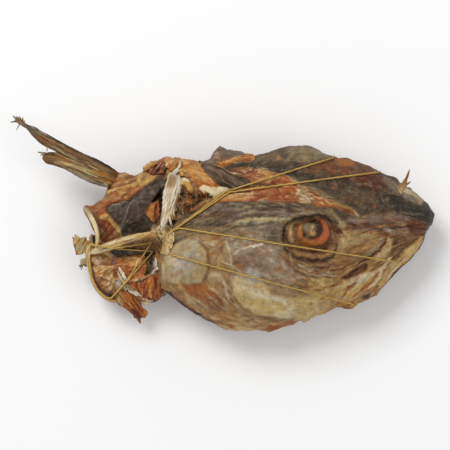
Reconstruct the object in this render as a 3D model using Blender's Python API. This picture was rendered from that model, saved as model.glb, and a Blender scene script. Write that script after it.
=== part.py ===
"""Dried stockfish: a wind-dried cod head with its collar and one spread fin, bound with twine.

The head lies on its left side with the right cheek up. +X points to the snout, +Y to the crown of the
head and +Z up. The origin is on the ground under the middle of the whole piece. Sizes are in millimetres
and are turned to metres where a mesh is made.

The fish is one solid: lofts and swept strips joined by Boolean unions. The twine is three closed loops.
"""

import math
from dataclasses import dataclass

import bmesh
import bpy
from mathutils import Vector
from mathutils.bvhtree import BVHTree

MM = 0.001

# Driving sizes of the whole piece
LENGTH = 361.5  # frayed fin tip to snout
FIN_TIP_X = -LENGTH / 2
SNOUT_X = LENGTH / 2
TWINE_RADIUS = 1.0
TWINE_GAP = 0.35  # clear space between twine and skin
TWINE_STEP = 8.0  # spacing of the twine's points
EDGE_POINTS = 5  # stretches of twine round the side of the head
EDGE_BULGE = 14.0  # how far a turn starts out from the side before it is drawn in
EDGE_ROUNDS = 60  # rounds of easing that draw it in
CLEARING_ROUNDS = 12  # rounds that move a loop clear of the fish
WAY_OUT = Vector((0.31, 0.17, 1)).normalized()  # slanted, so that it seldom runs along an edge
TINY = 1e-6  # a distance that counts as none, in metres

FLOOR_OVERSHOOT = 1.12  # how far a section would dip below its flat underside, as a share
UPPER_SHARE = 0.64  # share of a loft's points that lie on its upper side
NEAR_EDGE = 1.3  # how keen the near edge of a section is: 1 is round, 2 is a straight slope
FAR_EDGE = 1.12


@dataclass(frozen=True)
class Section:
    """One station of a loft: the far and near edges, the crest between them, and their heights."""

    x: float
    far: float
    near: float
    crest: float
    top: float
    rim: float
    floor: float

    def point(self, side, lift):
        """The point of this section in the direction (side, lift) of a unit circle."""
        edge, keen = (self.far, FAR_EDGE) if side > 0 else (self.near, NEAR_EDGE)
        y = self.crest + (edge - self.crest) * abs(side) ** keen
        if lift >= 0:
            return Vector((self.x, y, self.rim + (self.top - self.rim) * lift**keen))
        sunk = self.rim + (self.rim - self.floor) * FLOOR_OVERSHOOT * lift
        return Vector((self.x, y, max(self.floor, sunk)))


@dataclass(frozen=True)
class Mound:
    """A raised or sunk oval on the upper side. A high sharpness gives it a flat top and a steep edge."""

    x: float
    y: float
    length: float
    width: float
    turn: float
    height: float
    sharpness: float = 2.0

    def rise(self, x, y):
        """Height that this oval adds at (x, y)."""
        angle = math.radians(self.turn)
        along = (x - self.x) * math.cos(angle) + (y - self.y) * math.sin(angle)
        across = (y - self.y) * math.cos(angle) - (x - self.x) * math.sin(angle)
        reach = (2 * along / self.length) ** 2 + (2 * across / self.width) ** 2
        return self.height * max(0.0, 1.0 - reach ** (self.sharpness / 2)) if reach < 1 else 0.0


@dataclass(frozen=True)
class Ridge:
    """A raised or sunk line on the upper side, through its points."""

    points: tuple
    width: float
    height: float

    def rise(self, x, y):
        """Height that this line adds at (x, y)."""
        here = Vector((x, y))
        nearest = min(
            (here - closest_on(here, Vector(a), Vector(b))).length
            for a, b in zip(self.points, self.points[1:])
        )
        return self.height * math.exp(-((2 * nearest / self.width) ** 2))


def closest_on(here, a, b):
    """The point of the segment from a to b that is closest to here."""
    run = b - a
    share = max(0.0, min(1.0, (here - a).dot(run) / run.length_squared))
    return a + run * share


def smooth_row(rows, place):
    """Values at place (0 to 1) along rows, on a Catmull-Rom curve whose knots are evenly spaced."""
    last = len(rows) - 1
    at = min(place * last, last - 1e-9)
    i = int(at)
    t = at - i
    before, start, end, after = (rows[max(0, min(last, k))] for k in (i - 1, i, i + 1, i + 2))
    return [
        0.5 * (2 * b + (c - a) * t + (2 * a - 5 * b + 4 * c - d) * t * t + (3 * b - a - 3 * c + d) * t**3)
        for a, b, c, d in zip(before, start, end, after)
    ]


def section_at(sections, x):
    """The section at x, between its two neighbouring stations."""
    for a, b in zip(sections, sections[1:]):
        if x <= b.x:
            t = (x - a.x) / (b.x - a.x)
            eased = t * t * (3 - 2 * t) * 0.35 + t * 0.65
            mixed = [p + (q - p) * eased for p, q in zip(row_of(a), row_of(b))]
            return Section(x, *mixed)
    return sections[-1]


def row_of(section):
    """A section's values after x."""
    return (section.far, section.near, section.crest, section.top, section.rim, section.floor)


def pulled_ball(name, around, along, place, material):
    """A mesh object made from a UV sphere, each of whose points place(share along, side, lift) moves."""
    bm = bmesh.new()
    bmesh.ops.create_uvsphere(bm, u_segments=around, v_segments=along, radius=1.0)
    for vertex in bm.verts:
        height = max(-1.0, min(1.0, vertex.co.z))
        share = math.acos(height) / math.pi
        ring = math.hypot(vertex.co.x, vertex.co.y)
        side, lift = (vertex.co.x / ring, vertex.co.y / ring) if ring > 1e-6 else (1.0, 0.0)
        vertex.co = place(share, side, lift) * MM
    bmesh.ops.triangulate(bm, faces=bm.faces[:], quad_method="SHORT_EDGE")  # flat faces join the same way each run
    bmesh.ops.recalc_face_normals(bm, faces=bm.faces)
    mesh = bpy.data.meshes.new(name)
    bm.to_mesh(mesh)
    bm.free()
    mesh.shade_smooth()
    mesh.materials.append(material)
    body = bpy.data.objects.new(name, mesh)
    bpy.context.scene.collection.objects.link(body)
    return body


def crowded_on_top(side, lift):
    """The direction (side, lift), turned so that the upper half of a ring takes more of its points."""
    turn = math.atan2(lift, side) % math.tau
    split = math.tau * UPPER_SHARE
    moved = math.pi * (turn / split if turn < split else 1 + (turn - split) / (math.tau - split))
    return math.cos(moved), math.sin(moved)


def lofted(name, sections, around, along, reliefs, material):
    """A closed body through the sections, with reliefs on its upper side."""
    start, end = sections[0].x, sections[-1].x

    def place(share, side, lift):
        side, lift = crowded_on_top(side, lift)
        rounded = (1 - math.cos(math.pi * share)) / 2
        x = start + (end - start) * (0.45 * rounded + 0.55 * share)
        point = section_at(sections, x).point(side, lift)
        if lift > 0:
            fade = min(1.0, 3.0 * lift)
            point.z += fade * sum(relief.rise(point.x, point.y) for relief in reliefs)
        return point

    return pulled_ball(name, around, along, place, material)


def swept(name, spine, around, along, material):
    """A flat strip along a spine of rows (x, y, z, width, thickness, roll in degrees) with blunt ends."""

    def place(share, side, lift):
        x, y, z, width, thickness, roll = smooth_row(spine, share)
        ahead = Vector(smooth_row(spine, min(1.0, share + 0.02))[:3])
        behind = Vector(smooth_row(spine, max(0.0, share - 0.02))[:3])
        forward = (ahead - behind).normalized()
        level = forward.cross(Vector((0, 0, 1))).normalized()
        upright = level.cross(forward)
        turn = math.radians(roll)
        across = level * math.cos(turn) + upright * math.sin(turn)
        face = upright * math.cos(turn) - level * math.sin(turn)
        blunt = (1 - abs(2 * share - 1) ** 8) ** 0.5
        return (
            Vector((x, y, z))
            + across * (side * width / 2 * blunt)
            + face * (lift * thickness / 2 * blunt)
        )

    return pulled_ball(name, around, along, place, material)


def principled(name, colour, roughness):
    """A Principled material of one colour."""
    material = bpy.data.materials.new(name)
    material.use_nodes = True
    shader = material.node_tree.nodes["Principled BSDF"]
    shader.inputs["Base Color"].default_value = (*colour, 1.0)
    shader.inputs["Roughness"].default_value = roughness
    material.diffuse_color = (*colour, 1.0)
    return material


# ---------------------------------------------------------------- the head

HEAD_SECTIONS = (
    Section(-55.5, -35, -39, -37, 50, 46, 40),
    Section(-53, -18, -54, -38, 61, 38, 16),
    Section(-46, 6, -62, -32, 72, 35, 5),
    Section(-36, 24, -68, -24, 80, 34, 0),
    Section(-20, 38, -79, -14, 87, 33, 0),
    Section(0, 47, -89, -6, 91, 32, 0),
    Section(20, 55, -90, 0, 92, 32, 0),
    Section(38, 62, -92.5, 3, 92, 32, 0),
    Section(52, 66, -87, 5, 91, 32, 0),
    Section(70, 67.3, -83, 8, 89, 32, 0),
    Section(86, 60.5, -76, 11, 86, 32, 0),
    Section(100, 57.5, -70, 13, 82, 32, 4),
    Section(113, 54, -70, 14, 77, 31, 6),
    Section(130, 47, -61, 13, 70, 30, 9),
    Section(142, 42, -47, 12, 63, 30, 12),
    Section(156, 34, -33, 11, 55, 29, 15),
    Section(167, 26, -20, 10, 47, 29, 18),
    Section(175, 17, -5, 9, 39, 29, 20),
    Section(SNOUT_X, 9, 7, 8, 30, 28, 26),
)

EYE = (73, -6)
HEAD_RELIEFS = (
    Mound(*EYE, 48, 42, -12, -9, 3.0),  # socket
    Mound(*EYE, 32, 28, -12, 11, 2.0),  # dried eyeball
    Ridge(((48, 6), (60, 12), (78, 13), (92, 6)), 8, 4),  # brow over the socket
    Mound(-34, -34, 40, 46, 20, 3.5, 6.0),  # plate of the gill cover
    Mound(22, -30, 36, 30, -20, 3, 4.0),  # cheek plate
    Mound(38, -62, 52, 26, -12, 4, 4.0),  # pale lower plate
    Ridge(((-30, 12), (0, 22), (40, 28), (75, 22), (105, 12)), 22, -5),  # flesh cut along the nape
    Ridge(((172, 1), (140, -3), (104, -2)), 8, -4),  # crease behind the snout
    Ridge(((166, -12), (145, -27), (125, -44), (108, -62)), 11, 5),  # upper jaw bone
    Ridge(((160, -26), (142, -41), (128, -54)), 7, -4),  # mouth slit
    Ridge(((135, -8), (122, -26), (98, -44)), 10, -4),  # hollow between cheek and jaw
    Ridge(((8, 50), (30, 53), (50, 47), (75, 40)), 8, -4),  # foot of the far gill cover
)

# ---------------------------------------------------------------- the collar behind it

COLLAR_SECTIONS = (
    Section(-120.5, 14, 12, 13, 26, 24, 22),
    Section(-117, 17, 6, 12, 30, 24, 14),
    Section(-111, 19, -6, 8, 34, 24, 9),
    Section(-105, 24, -14, 6, 38, 25, 6),
    Section(-98, 36, -17, 8, 42, 26, 4),
    Section(-90, 45, -18, 14, 45, 28, 3),
    Section(-78, 42, -20, 16, 48, 30, 1),
    Section(-70, 46, -22, 18, 51, 30, 0),
    Section(-62, 53, -24, 20, 57, 32, 0),
    Section(-50, 57.5, -26, 22, 66, 34, 0),
    Section(-38, 56, -28, 24, 73, 36, 0),
    Section(-20, 53, -28, 26, 76, 38, 2),
    Section(-10, 60, -28, 28, 76, 40, 4),
    Section(-4, 66, -28, 30, 74, 40, 6),
    Section(10, 63, -24, 30, 72, 40, 8),
    Section(22, 59.5, -20, 32, 66, 38, 10),
    Section(30, 42, 22, 32, 52, 46, 40),
)

COLLAR_RELIEFS = (
    Mound(-76, 12, 50, 30, 25, -8, 3.0),  # black belly lining in its hollow
    Mound(-33, 15, 32, 20, 35, -12, 2.5),  # gill hollow
    Ridge(((-106, 26), (-90, 32), (-72, 36), (-60, 48)), 9, 4),  # upper collar bone
    Ridge(((-14, 52), (0, 40), (16, 34)), 14, 5),  # dark fold of skin behind the nape
    Mound(-30, 44, 30, 20, 10, 4, 3.0),  # shoulder muscle
)

# ---------------------------------------------------------------- the throat pouch

POUCH_SECTIONS = (
    Section(-118.5, -22, -26, -24, 25, 24, 23),
    Section(-116, -14, -40, -28, 32, 22, 8),
    Section(-109, -14, -56, -36, 36, 22, 4),
    Section(-98, -14, -65, -40, 37, 22, 1),
    Section(-85, -12, -66, -40, 38, 22, 0),
    Section(-70, -12, -67, -42, 40, 22, 0),
    Section(-58, -14, -65, -42, 42, 24, 0),
    Section(-50, -20, -56, -40, 43, 26, 2),
    Section(-40, -30, -46, -38, 40, 36, 32),
)

POUCH_RELIEFS = (
    Mound(-93, -42, 34, 38, 20, -9, 2.5),  # left hollow
    Mound(-74, -28, 26, 18, -10, -8, 2.5),  # hollow under the strap
    Ridge(((-114, -26), (-112, -44), (-102, -59), (-88, -63)), 8, 4),  # rolled rim
    Mound(-64, -52, 26, 24, 10, 4, 2.0),  # lump of throat muscle
)

# ---------------------------------------------------------------- strips: (x, y, z, width, thickness, roll)

STRIPS = {
    "fin_upper_rays": (
        (-76, 35, 42, 12, 11, 5),
        (-90, 40, 44, 15, 9, 8),
        (-106, 47.5, 45, 15, 7, 12),
        (-122, 56, 47, 13.5, 6, 14),
        (-138, 64.5, 49, 13, 5, 14),
        (-152, 72.5, 52, 10, 4.5, 14),
        (-163, 80, 54, 6, 4, 12),
        (-172, 87, 56, 7, 3.5, 10),
        (FIN_TIP_X, 91.5, 58, 6, 3, 10),
    ),
    "fin_lower_rays": (
        (-80, 30, 41, 12, 10, 5),
        (-96, 37.5, 42, 18, 8, 8),
        (-112, 42.5, 43, 18, 6, 10),
        (-128, 49, 44, 16, 5, 10),
        (-142, 55, 45, 13.5, 4, 10),
        (-155.5, 57.5, 45, 9, 3.5, 10),
    ),
    "near_strap": (
        (-112, -22, 36, 6, 8, 0),
        (-100, -18, 45, 9, 9, 0),
        (-85, -13, 51, 9, 10, 0),
        (-70, -9, 56, 9, 10, 0),
        (-58, -11, 60, 10, 10, 0),
        (-47, -20, 62, 9, 9, 0),
    ),
    "left_fold": (
        (-119.5, 14, 28, 6, 6, 0),
        (-113, 7, 33, 6, 7, 0),
        (-108.5, -3, 37, 6, 8, 0),
        (-108, -14, 37, 6, 8, 0),
        (-109, -22, 34, 6, 8, 0),
    ),
    "white_rays": (
        (-54, -6, 60, 8, 9, 0),
        (-50, 8, 68, 9, 10, 0),
        (-47, 22, 73, 12, 11, 0),
        (-43, 38, 77, 13, 9, 0),
        (-41, 48, 75, 12, 8, 0),
    ),
    "throat_tab": (
        (-90, -57, 26, 14, 5, 0),
        (-84, -65, 21, 17, 4, 0),
        (-77, -72, 16, 16, 3.5, 0),
        (-73, -79, 11, 9, 3, 0),
        (-73, -84.5, 8, 4, 3, 0),
    ),
    "left_flap": (
        (-113, -15, 28, 8, 5, 0),
        (-119, -16, 27, 9, 4, 0),
        (-125, -16.5, 25, 16, 3.5, 0),
        (-131, -16, 23, 14, 3, 0),
    ),
    "small_scrap": (
        (-114, -30, 26, 7, 5, 0),
        (-120, -33, 24, 5, 4, 0),
        (-125.5, -35, 22, 4, 3, 0),
    ),
    "snout_barb": (
        (148, 26, 51, 9, 8, 0),
        (152, 34, 56, 6, 5, 0),
        (156.5, 47, 64, 2.5, 2.5, 0),
    ),
}


def dried_fish(material):
    """The whole fish as one solid: the head, with everything else joined on."""
    fish = lofted("dried_fish", HEAD_SECTIONS, 50, 46, HEAD_RELIEFS, material)
    others = [
        lofted("collar", COLLAR_SECTIONS, 30, 26, COLLAR_RELIEFS, material),
        lofted("pouch", POUCH_SECTIONS, 26, 16, POUCH_RELIEFS, material),
    ]
    for name, spine in STRIPS.items():
        along = 3 + 2 * len(spine) if len(spine) > 5 else 2 + 2 * len(spine)
        others.append(swept(name, spine, 8, along, material))
    for other in others:
        join = fish.modifiers.new(other.name, "BOOLEAN")
        join.operation = "UNION"
        join.solver = "EXACT"
        join.object = other
        other.hide_render = True
        other.display_type = "WIRE"
    return fish


def evaluated_skin(fish):
    """A search tree over the joined fish, in metres."""
    graph = bpy.context.evaluated_depsgraph_get()
    graph.update()
    return BVHTree.FromObject(fish, graph)


class Skin:
    """The joined fish, asked for heights in millimetres."""

    def __init__(self, tree):
        self.tree = tree

    def height(self, x, y, from_below):
        """The outermost height over (x, y), or None beside the fish."""
        start = -0.05 if from_below else 0.3
        way = Vector((0, 0, 1 if from_below else -1))
        hit = self.tree.ray_cast(Vector((x * MM, y * MM, start)), way)[0]
        return None if hit is None else hit.z / MM

    def encloses(self, place):
        """Whether place, in metres, is inside: a straight line out of it then crosses the skin an odd number of times."""
        crossings = 0
        hit = self.tree.ray_cast(place, WAY_OUT)[0]
        while hit is not None:
            crossings += 1
            hit = self.tree.ray_cast(hit + WAY_OUT * TINY, WAY_OUT)[0]
        return crossings % 2 == 1

    def pushed_out(self, point, clearance):
        """point, moved out of the fish until it is clearance from the skin."""
        place = point * MM
        where, normal, _, distance = self.tree.find_nearest(place)
        inside = self.encloses(place)
        if not inside and distance / MM >= clearance:
            return point
        outward = (place - where) * (-1 if inside else 1)
        outward = normal if distance < TINY else outward.normalized()
        return where / MM + outward * clearance


def taut_leg(skin, start, end, clearance, from_below=False):
    """A straight leg in plan from start to end, pulled tight over the skin: no point of it can drop."""
    steps = max(3, round((Vector(end) - Vector(start)).length / TWINE_STEP))
    plan = [Vector(start).lerp(Vector(end), k / steps) for k in range(steps + 1)]
    sign = -1 if from_below else 1
    heights = []
    for place in plan:
        around = [
            skin.height(place.x + dx, place.y + dy, from_below)
            for dx in (-2, 0, 2)
            for dy in (-2, 0, 2)
        ]
        met = [sign * h for h in around if h is not None]
        heights.append(max(met) + clearance if met else None)
    kept = [(k, h) for k, h in enumerate(heights) if h is not None]
    hull = []
    for k, h in kept:
        while len(hull) > 1 and slope(hull[-2], hull[-1]) <= slope(hull[-1], (k, h)):
            hull.pop()
        hull.append((k, h))
    line = []
    for (k, h), (n, g) in zip(hull, hull[1:]):
        line += [(i, h + (g - h) * (i - k) / (n - k)) for i in range(k, n)]
    line.append(hull[-1])
    return [Vector((plan[k].x, plan[k].y, sign * h)) for k, h in line]


def slope(a, b):
    """The rise per step from a to b."""
    return (b[1] - a[1]) / (b[0] - a[0])


def wrapped_edge(skin, top, bottom, outward, clearance):
    """Points from top round the side of the fish to bottom, bulged outwards and then drawn onto the skin."""
    points = []
    for k in range(1, EDGE_POINTS):
        share = k / EDGE_POINTS
        bulge = Vector((*outward, 0)) * (EDGE_BULGE * math.sin(math.pi * share))
        points.append(top.lerp(bottom, share) + bulge)
    ring = [top, *points, bottom]
    for _ in range(EDGE_ROUNDS):
        for k in range(1, len(ring) - 1):
            eased = ring[k].lerp((ring[k - 1] + ring[k + 1]) / 2, 0.5)
            ring[k] = skin.pushed_out(eased, clearance)
    return ring[1:-1]


def cleared(skin, points, clearance):
    """The closed loop's points, moved out until the stretches between them are clear of the fish too."""
    ring = list(points)
    for _ in range(CLEARING_ROUNDS):
        for k, end in enumerate(ring):
            start = ring[k - 1]
            for share in (0.2, 0.4, 0.6, 0.8, 1.0):
                here = start.lerp(end, share)
                step = skin.pushed_out(here, clearance) - here
                start = start + step * (1 - share)
                end = end + step * share
            ring[k - 1], ring[k] = start, end
    return ring


def tube(name, points, material):
    """A closed loop of twine through the points, in millimetres."""
    curve = bpy.data.curves.new(name, "CURVE")
    curve.dimensions = "3D"
    curve.bevel_depth = TWINE_RADIUS * MM
    curve.bevel_resolution = 1
    spline = curve.splines.new("POLY")
    spline.points.add(len(points) - 1)
    for made, point in zip(spline.points, points):
        made.co = (*(point * MM), 1.0)
    spline.use_cyclic_u = True
    curve.materials.append(material)
    loop = bpy.data.objects.new(name, curve)
    bpy.context.scene.collection.objects.link(loop)
    return loop


@dataclass(frozen=True)
class HeadLoop:
    """A turn of twine round the head: over the crown, under the jaw side and back to the throat."""

    name: str
    throat: tuple
    fork: tuple
    far_edge: tuple
    jaw_edge: tuple
    return_throat: tuple

    def route(self, skin, clearance):
        """The loop's points, drawn tight over the fish."""
        over = taut_leg(skin, self.throat, self.fork, clearance)
        over += taut_leg(skin, self.fork, self.far_edge, clearance)[1:]
        under = taut_leg(skin, self.far_edge, self.jaw_edge, clearance, from_below=True)[1:-1]
        back = taut_leg(skin, self.jaw_edge, self.return_throat, clearance)
        far_side = wrapped_edge(skin, over[-1], under[0], (0.3, 0.95), clearance)
        jaw_side = wrapped_edge(skin, under[-1], back[0], (0.5, -0.85), clearance)
        knot = taut_leg(skin, self.return_throat, self.throat, clearance)[1:-1]
        return over + far_side + under + jaw_side + back + knot


HEAD_LOOPS = (
    HeadLoop("twine_brow_loop", (-47, -8), (2, 28.5), (93, 56.5), (111, -68), (-45, -25)),
    HeadLoop("twine_snout_loop", (-41, -6.5), (5, 25.5), (132, 44.5), (154, -33), (-37, -3.5)),
)

# The tie runs from its apex by the knot to the strap, round the pouch's rim and back over the pouch.
TIE_APEX = (-61, -15.5)
TIE_RIM = ((-112, -13), (-117.5, -24), (-116.5, -38), (-111, -52), (-102, -62), (-94, -63.5))


def collar_tie(skin, clearance):
    """The points of a tie over the pouch, whose strands rise to an apex beside the throat."""
    legs = taut_leg(skin, TIE_APEX, TIE_RIM[0], clearance)
    home = taut_leg(skin, TIE_RIM[-1], TIE_APEX, clearance)
    held = []
    for x, y in TIE_RIM[1:-1]:
        height = skin.height(x, y, False)
        if height is None:
            held.append(skin.pushed_out(Vector((x, y, legs[-1].z)), clearance))
        else:
            held.append(Vector((x, y, height + clearance)))
    return legs + held + home[:-1]


def main():
    """Clears the scene and builds the fish and its twine."""
    for old in list(bpy.data.objects):
        bpy.data.objects.remove(old)
    skin_material = principled("dried_skin", (0.28, 0.19, 0.11), 0.55)
    twine_material = principled("sisal_twine", (0.46, 0.31, 0.08), 0.8)
    fish = dried_fish(skin_material)
    skin = Skin(evaluated_skin(fish))
    clearance = TWINE_RADIUS + TWINE_GAP
    routes = {loop.name: loop.route(skin, clearance) for loop in HEAD_LOOPS}
    routes["twine_collar_tie"] = collar_tie(skin, clearance)
    for name, route in routes.items():
        tube(name, cleared(skin, route, clearance), twine_material)


main()
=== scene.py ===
"""Looks of a dried stockfish: a wind-dried cod head with its collar, throat pouch and one spread fin.

The head lies on its left side with the right cheek up. +X points to the snout, +Y to the crown and +Z up.
Sizes are in millimetres and become metres where a mesh is made. Each surface is a closed ball pulled into
its shape, and its colours are laid on it as named marks, seen from above.
"""

import logging
import math
import random
from dataclasses import dataclass, field
from enum import Enum
from typing import Protocol

import bmesh
import bpy
import numpy as np
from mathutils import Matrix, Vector
from mathutils.bvhtree import BVHTree


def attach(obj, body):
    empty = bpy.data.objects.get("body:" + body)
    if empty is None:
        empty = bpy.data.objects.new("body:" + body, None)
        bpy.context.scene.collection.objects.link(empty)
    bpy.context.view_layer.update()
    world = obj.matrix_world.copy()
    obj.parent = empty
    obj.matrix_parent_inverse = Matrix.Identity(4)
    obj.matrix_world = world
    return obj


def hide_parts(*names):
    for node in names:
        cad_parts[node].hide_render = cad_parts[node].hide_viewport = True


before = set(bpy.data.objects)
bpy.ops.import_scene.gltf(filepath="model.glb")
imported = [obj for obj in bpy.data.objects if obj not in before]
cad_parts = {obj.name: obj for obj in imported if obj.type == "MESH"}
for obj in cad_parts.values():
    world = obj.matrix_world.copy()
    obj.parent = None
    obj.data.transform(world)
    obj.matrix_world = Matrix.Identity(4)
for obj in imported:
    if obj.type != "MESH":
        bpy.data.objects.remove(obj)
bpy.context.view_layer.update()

log = logging.getLogger("stockfish")

MM = 0.001
FISH = "dried_fish"
BODY = "root"
Array = np.ndarray
Path = tuple[tuple[float, ...], ...]
Place = tuple[float, float]
Pieces = list[bpy.types.Object]


# ---------------------------------------------------------------- colour


class Tint(Enum):
    """The colours of a dried cod head, from its palest fibres to its black snout, and the near black painted as shade
    in its holes.
    """

    CHALK = "#d9d0bb"
    PEARL = "#c4bba6"
    BONE = "#cbbd9c"
    CREAM = "#bda980"
    STRAW = "#b59c66"
    HONEY = "#b08d55"
    AMBER = "#a8773e"
    ORANGE = "#a5662f"
    CORAL = "#b0664a"
    RUST = "#8d4f2a"
    OXIDE = "#7a4029"
    WINE = "#603428"
    LIVER = "#4a2c22"
    TAN = "#9b7a50"
    FAWN = "#8c7356"
    UMBER = "#7a5a3e"
    BARK = "#644833"
    HUSK = "#a2946f"
    ASH = "#a39f97"
    DOVE = "#8d8579"
    MAUVE = "#74625a"
    SLATE = "#5d564c"
    HIDE = "#4e4338"
    OLIVE = "#6b5c44"
    MOSS = "#7c7357"
    SOOT = "#3a352f"
    PITCH = "#25231f"
    # painted shade: the near black inside deep holes
    HOLE_SHADE = "#191613"


(
    CHALK, PEARL, BONE, CREAM, STRAW, HONEY, AMBER, ORANGE, CORAL, RUST, OXIDE, WINE, LIVER, TAN, FAWN, UMBER, BARK,
    HUSK, ASH, DOVE, MAUVE, SLATE, HIDE, OLIVE, MOSS, SOOT, PITCH, HOLE_SHADE,
) = Tint


def linear(colour: str | Array) -> Array:
    """Turn sRGB colour into linear light.

    Args:
        colour: A hex string, or rows of sRGB values from 0 to 1.

    Returns:
        The linear values, in the shape of the input or as three numbers.
    """
    values = srgb(colour) if isinstance(colour, str) else np.clip(colour, 0.0, 1.0)
    return np.where(values <= 0.04045, values / 12.92, ((values + 0.055) / 1.055) ** 2.4)


def srgb(colour: str) -> Array:
    """The three sRGB values, from 0 to 1, of a hex string."""
    return np.array([int(colour[k : k + 2], 16) / 255 for k in (1, 3, 5)])


def deepened(colour: Array) -> Array:
    """Widen the range from dark to light and strengthen the hue of sRGB rows, as oil does to dry skin."""
    grey = colour.mean(axis=1, keepdims=True)
    return np.clip(0.412 + (grey - 0.42) * 1.2 + (colour - grey) * 1.22, 0.03, 0.95)


def eased(value: Array) -> Array:
    """Clamp to 0..1 and ease both ends."""
    value = np.clip(value, 0.0, 1.0)
    return value * value * (3 - 2 * value)


# ---------------------------------------------------------------- natural irregularity


class Noise:
    """Smooth gradient noise that is the same on each run."""

    def __init__(self, seed: int) -> None:
        """Draw the lattice.

        Args:
            seed: Picks one lattice of many.
        """
        dice = np.random.default_rng(seed)
        self.order = np.tile(dice.permutation(256), 3)
        way = dice.normal(size=(256, 3))
        self.ways = way / np.linalg.norm(way, axis=1, keepdims=True)

    def at(self, places: Array) -> Array:
        """Read the noise.

        Args:
            places: Rows of three coordinates; one unit is one cell.

        Returns:
            A value from about -1 to 1 for each row.
        """
        cell = np.floor(places).astype(np.int64)
        local = places - cell
        cell &= 255
        blend = local**3 * (local * (local * 6 - 15) + 10)
        total = np.zeros(len(places))
        for corner in np.ndindex(2, 2, 2):
            step = np.array(corner)
            x, y, z = (cell + step).T
            way = self.ways[self.order[self.order[self.order[x] + y] + z]]
            weight = np.where(step, blend, 1 - blend).prod(axis=1)
            total += weight * ((local - step) * way).sum(axis=1)
        return total * 1.7

    def layered(self, places: Array, octaves: int = 3) -> Array:
        """The noise with finer and weaker layers added, each twice as fine as the last."""
        return sum(self.at(places * 2**k + 7.3 * k) * 0.55**k for k in range(octaves))


@dataclass(frozen=True)
class Grain:
    """The run of the fibres near one place: an angle in degrees from +X."""

    x: float
    y: float
    angle: float
    reach: float = 22.0


@dataclass(frozen=True)
class Flow:
    """The run of fibres and wrinkles over a surface."""

    grains: tuple[Grain, ...]
    rest_angle: float = 0.0

    def heading(self, x: Array, y: Array) -> tuple[Array, Array]:
        """The fibres' direction at each place, as unit vectors.

        Args:
            x: Places, in millimetres.
            y: Places, in millimetres.

        Returns:
            The x and the y of the unit vectors.
        """
        double = 2 * math.radians(self.rest_angle)
        across = np.full(len(x), 0.02 * math.cos(double))
        along = np.full(len(x), 0.02 * math.sin(double))
        for grain in self.grains:
            weight = np.exp(-((x - grain.x) ** 2 + (y - grain.y) ** 2) / grain.reach**2)
            double = 2 * math.radians(grain.angle)
            across += weight * math.cos(double)
            along += weight * math.sin(double)
        angle = np.arctan2(along, across) / 2
        return np.cos(angle), np.sin(angle)

    def fibres(self, places: Array, noise: Noise, width: float, length: float) -> Array:
        """Noise that is smeared along the fibres.

        Args:
            places: Rows of x and y on the unrolled surface, in millimetres, and the noise's layer.
            noise: The noise that is smeared.
            width: Width of one fibre, in millimetres.
            length: Length of one fibre, in millimetres.

        Returns:
            A value for each place, with a spread of 1.
        """
        steps = 5
        per_width = np.array((1 / width, 1 / width, 1.0))
        total = noise.at(places * per_width)
        for way in (-1.0, 1.0):
            walk = places.copy()
            last = None
            for _ in range(steps):
                ahead = np.stack(self.heading(walk[:, 0], walk[:, 1]), axis=1)
                if last is not None:
                    ahead *= np.sign((ahead * last).sum(axis=1))[:, None]
                last = ahead
                walk[:, :2] += ahead * (way * length / (2 * steps))
                total += noise.at(walk * per_width)
        return total / total.std()


# ---------------------------------------------------------------- marks: features seen from above


def through(points: Path, closed: bool = False, fine: int = 4) -> Array:
    """A smooth curve through points, on a Catmull-Rom spline.

    Args:
        points: The points, of any number of values each.
        closed: Whether the curve returns to its first point.
        fine: Points made from each stretch.

    Returns:
        The curve's points, as rows.
    """
    rows = np.array(points, float)
    count = len(rows)
    if count < 3:
        share = np.linspace(0, 1, fine + 1)[:, None]
        return rows[0] + (rows[-1] - rows[0]) * share
    made = []
    for k in range(count if closed else count - 1):
        index = [k - 1, k, k + 1, k + 2]
        index = [i % count if closed else min(max(i, 0), count - 1) for i in index]
        a, b, c, d = rows[index]
        for t in np.arange(fine) / fine:
            cubic = 2 * b + (c - a) * t + (2 * a - 5 * b + 4 * c - d) * t**2 + (3 * b - a - 3 * c + d) * t**3
            made.append(0.5 * cubic)
    if not closed:
        made.append(rows[-1])
    return np.array(made)


def to_line(x: Array, y: Array, line: Array) -> tuple[Array, Array]:
    """Distance to a polyline, and how far along it the nearest point lies.

    Args:
        x: Places, in millimetres.
        y: Places, in millimetres.
        line: The polyline's points.

    Returns:
        The distance, and the share of the line's length from 0 to 1.
    """
    runs = np.linalg.norm(np.diff(line, axis=0), axis=1)
    starts = np.concatenate(([0.0], np.cumsum(runs)))
    best = np.full(len(x), 1e9)
    place = np.zeros(len(x))
    for a, b, run, start in zip(line, line[1:], runs, starts):
        way = (b - a) / max(run, 1e-9)
        along = np.clip((x - a[0]) * way[0] + (y - a[1]) * way[1], 0, run)
        gap = np.hypot(x - a[0] - along * way[0], y - a[1] - along * way[1])
        closer = gap < best
        best = np.where(closer, gap, best)
        place = np.where(closer, start + along, place)
    return best, place / max(starts[-1], 1e-9)


def inside(x: Array, y: Array, ring: Array) -> Array:
    """Whether each place lies inside a closed ring of points.

    Args:
        x: Places, in millimetres.
        y: Places, in millimetres.
        ring: The ring's points.

    Returns:
        True or False for each place.
    """
    found = np.zeros(len(x), bool)
    for a, b in zip(ring, np.roll(ring, -1, axis=0)):
        spans = (a[1] > y) != (b[1] > y)
        found ^= spans & (x < a[0] + (y - a[1]) / (b[1] - a[1] + 1e-12) * (b[0] - a[0]))
    return found


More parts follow.
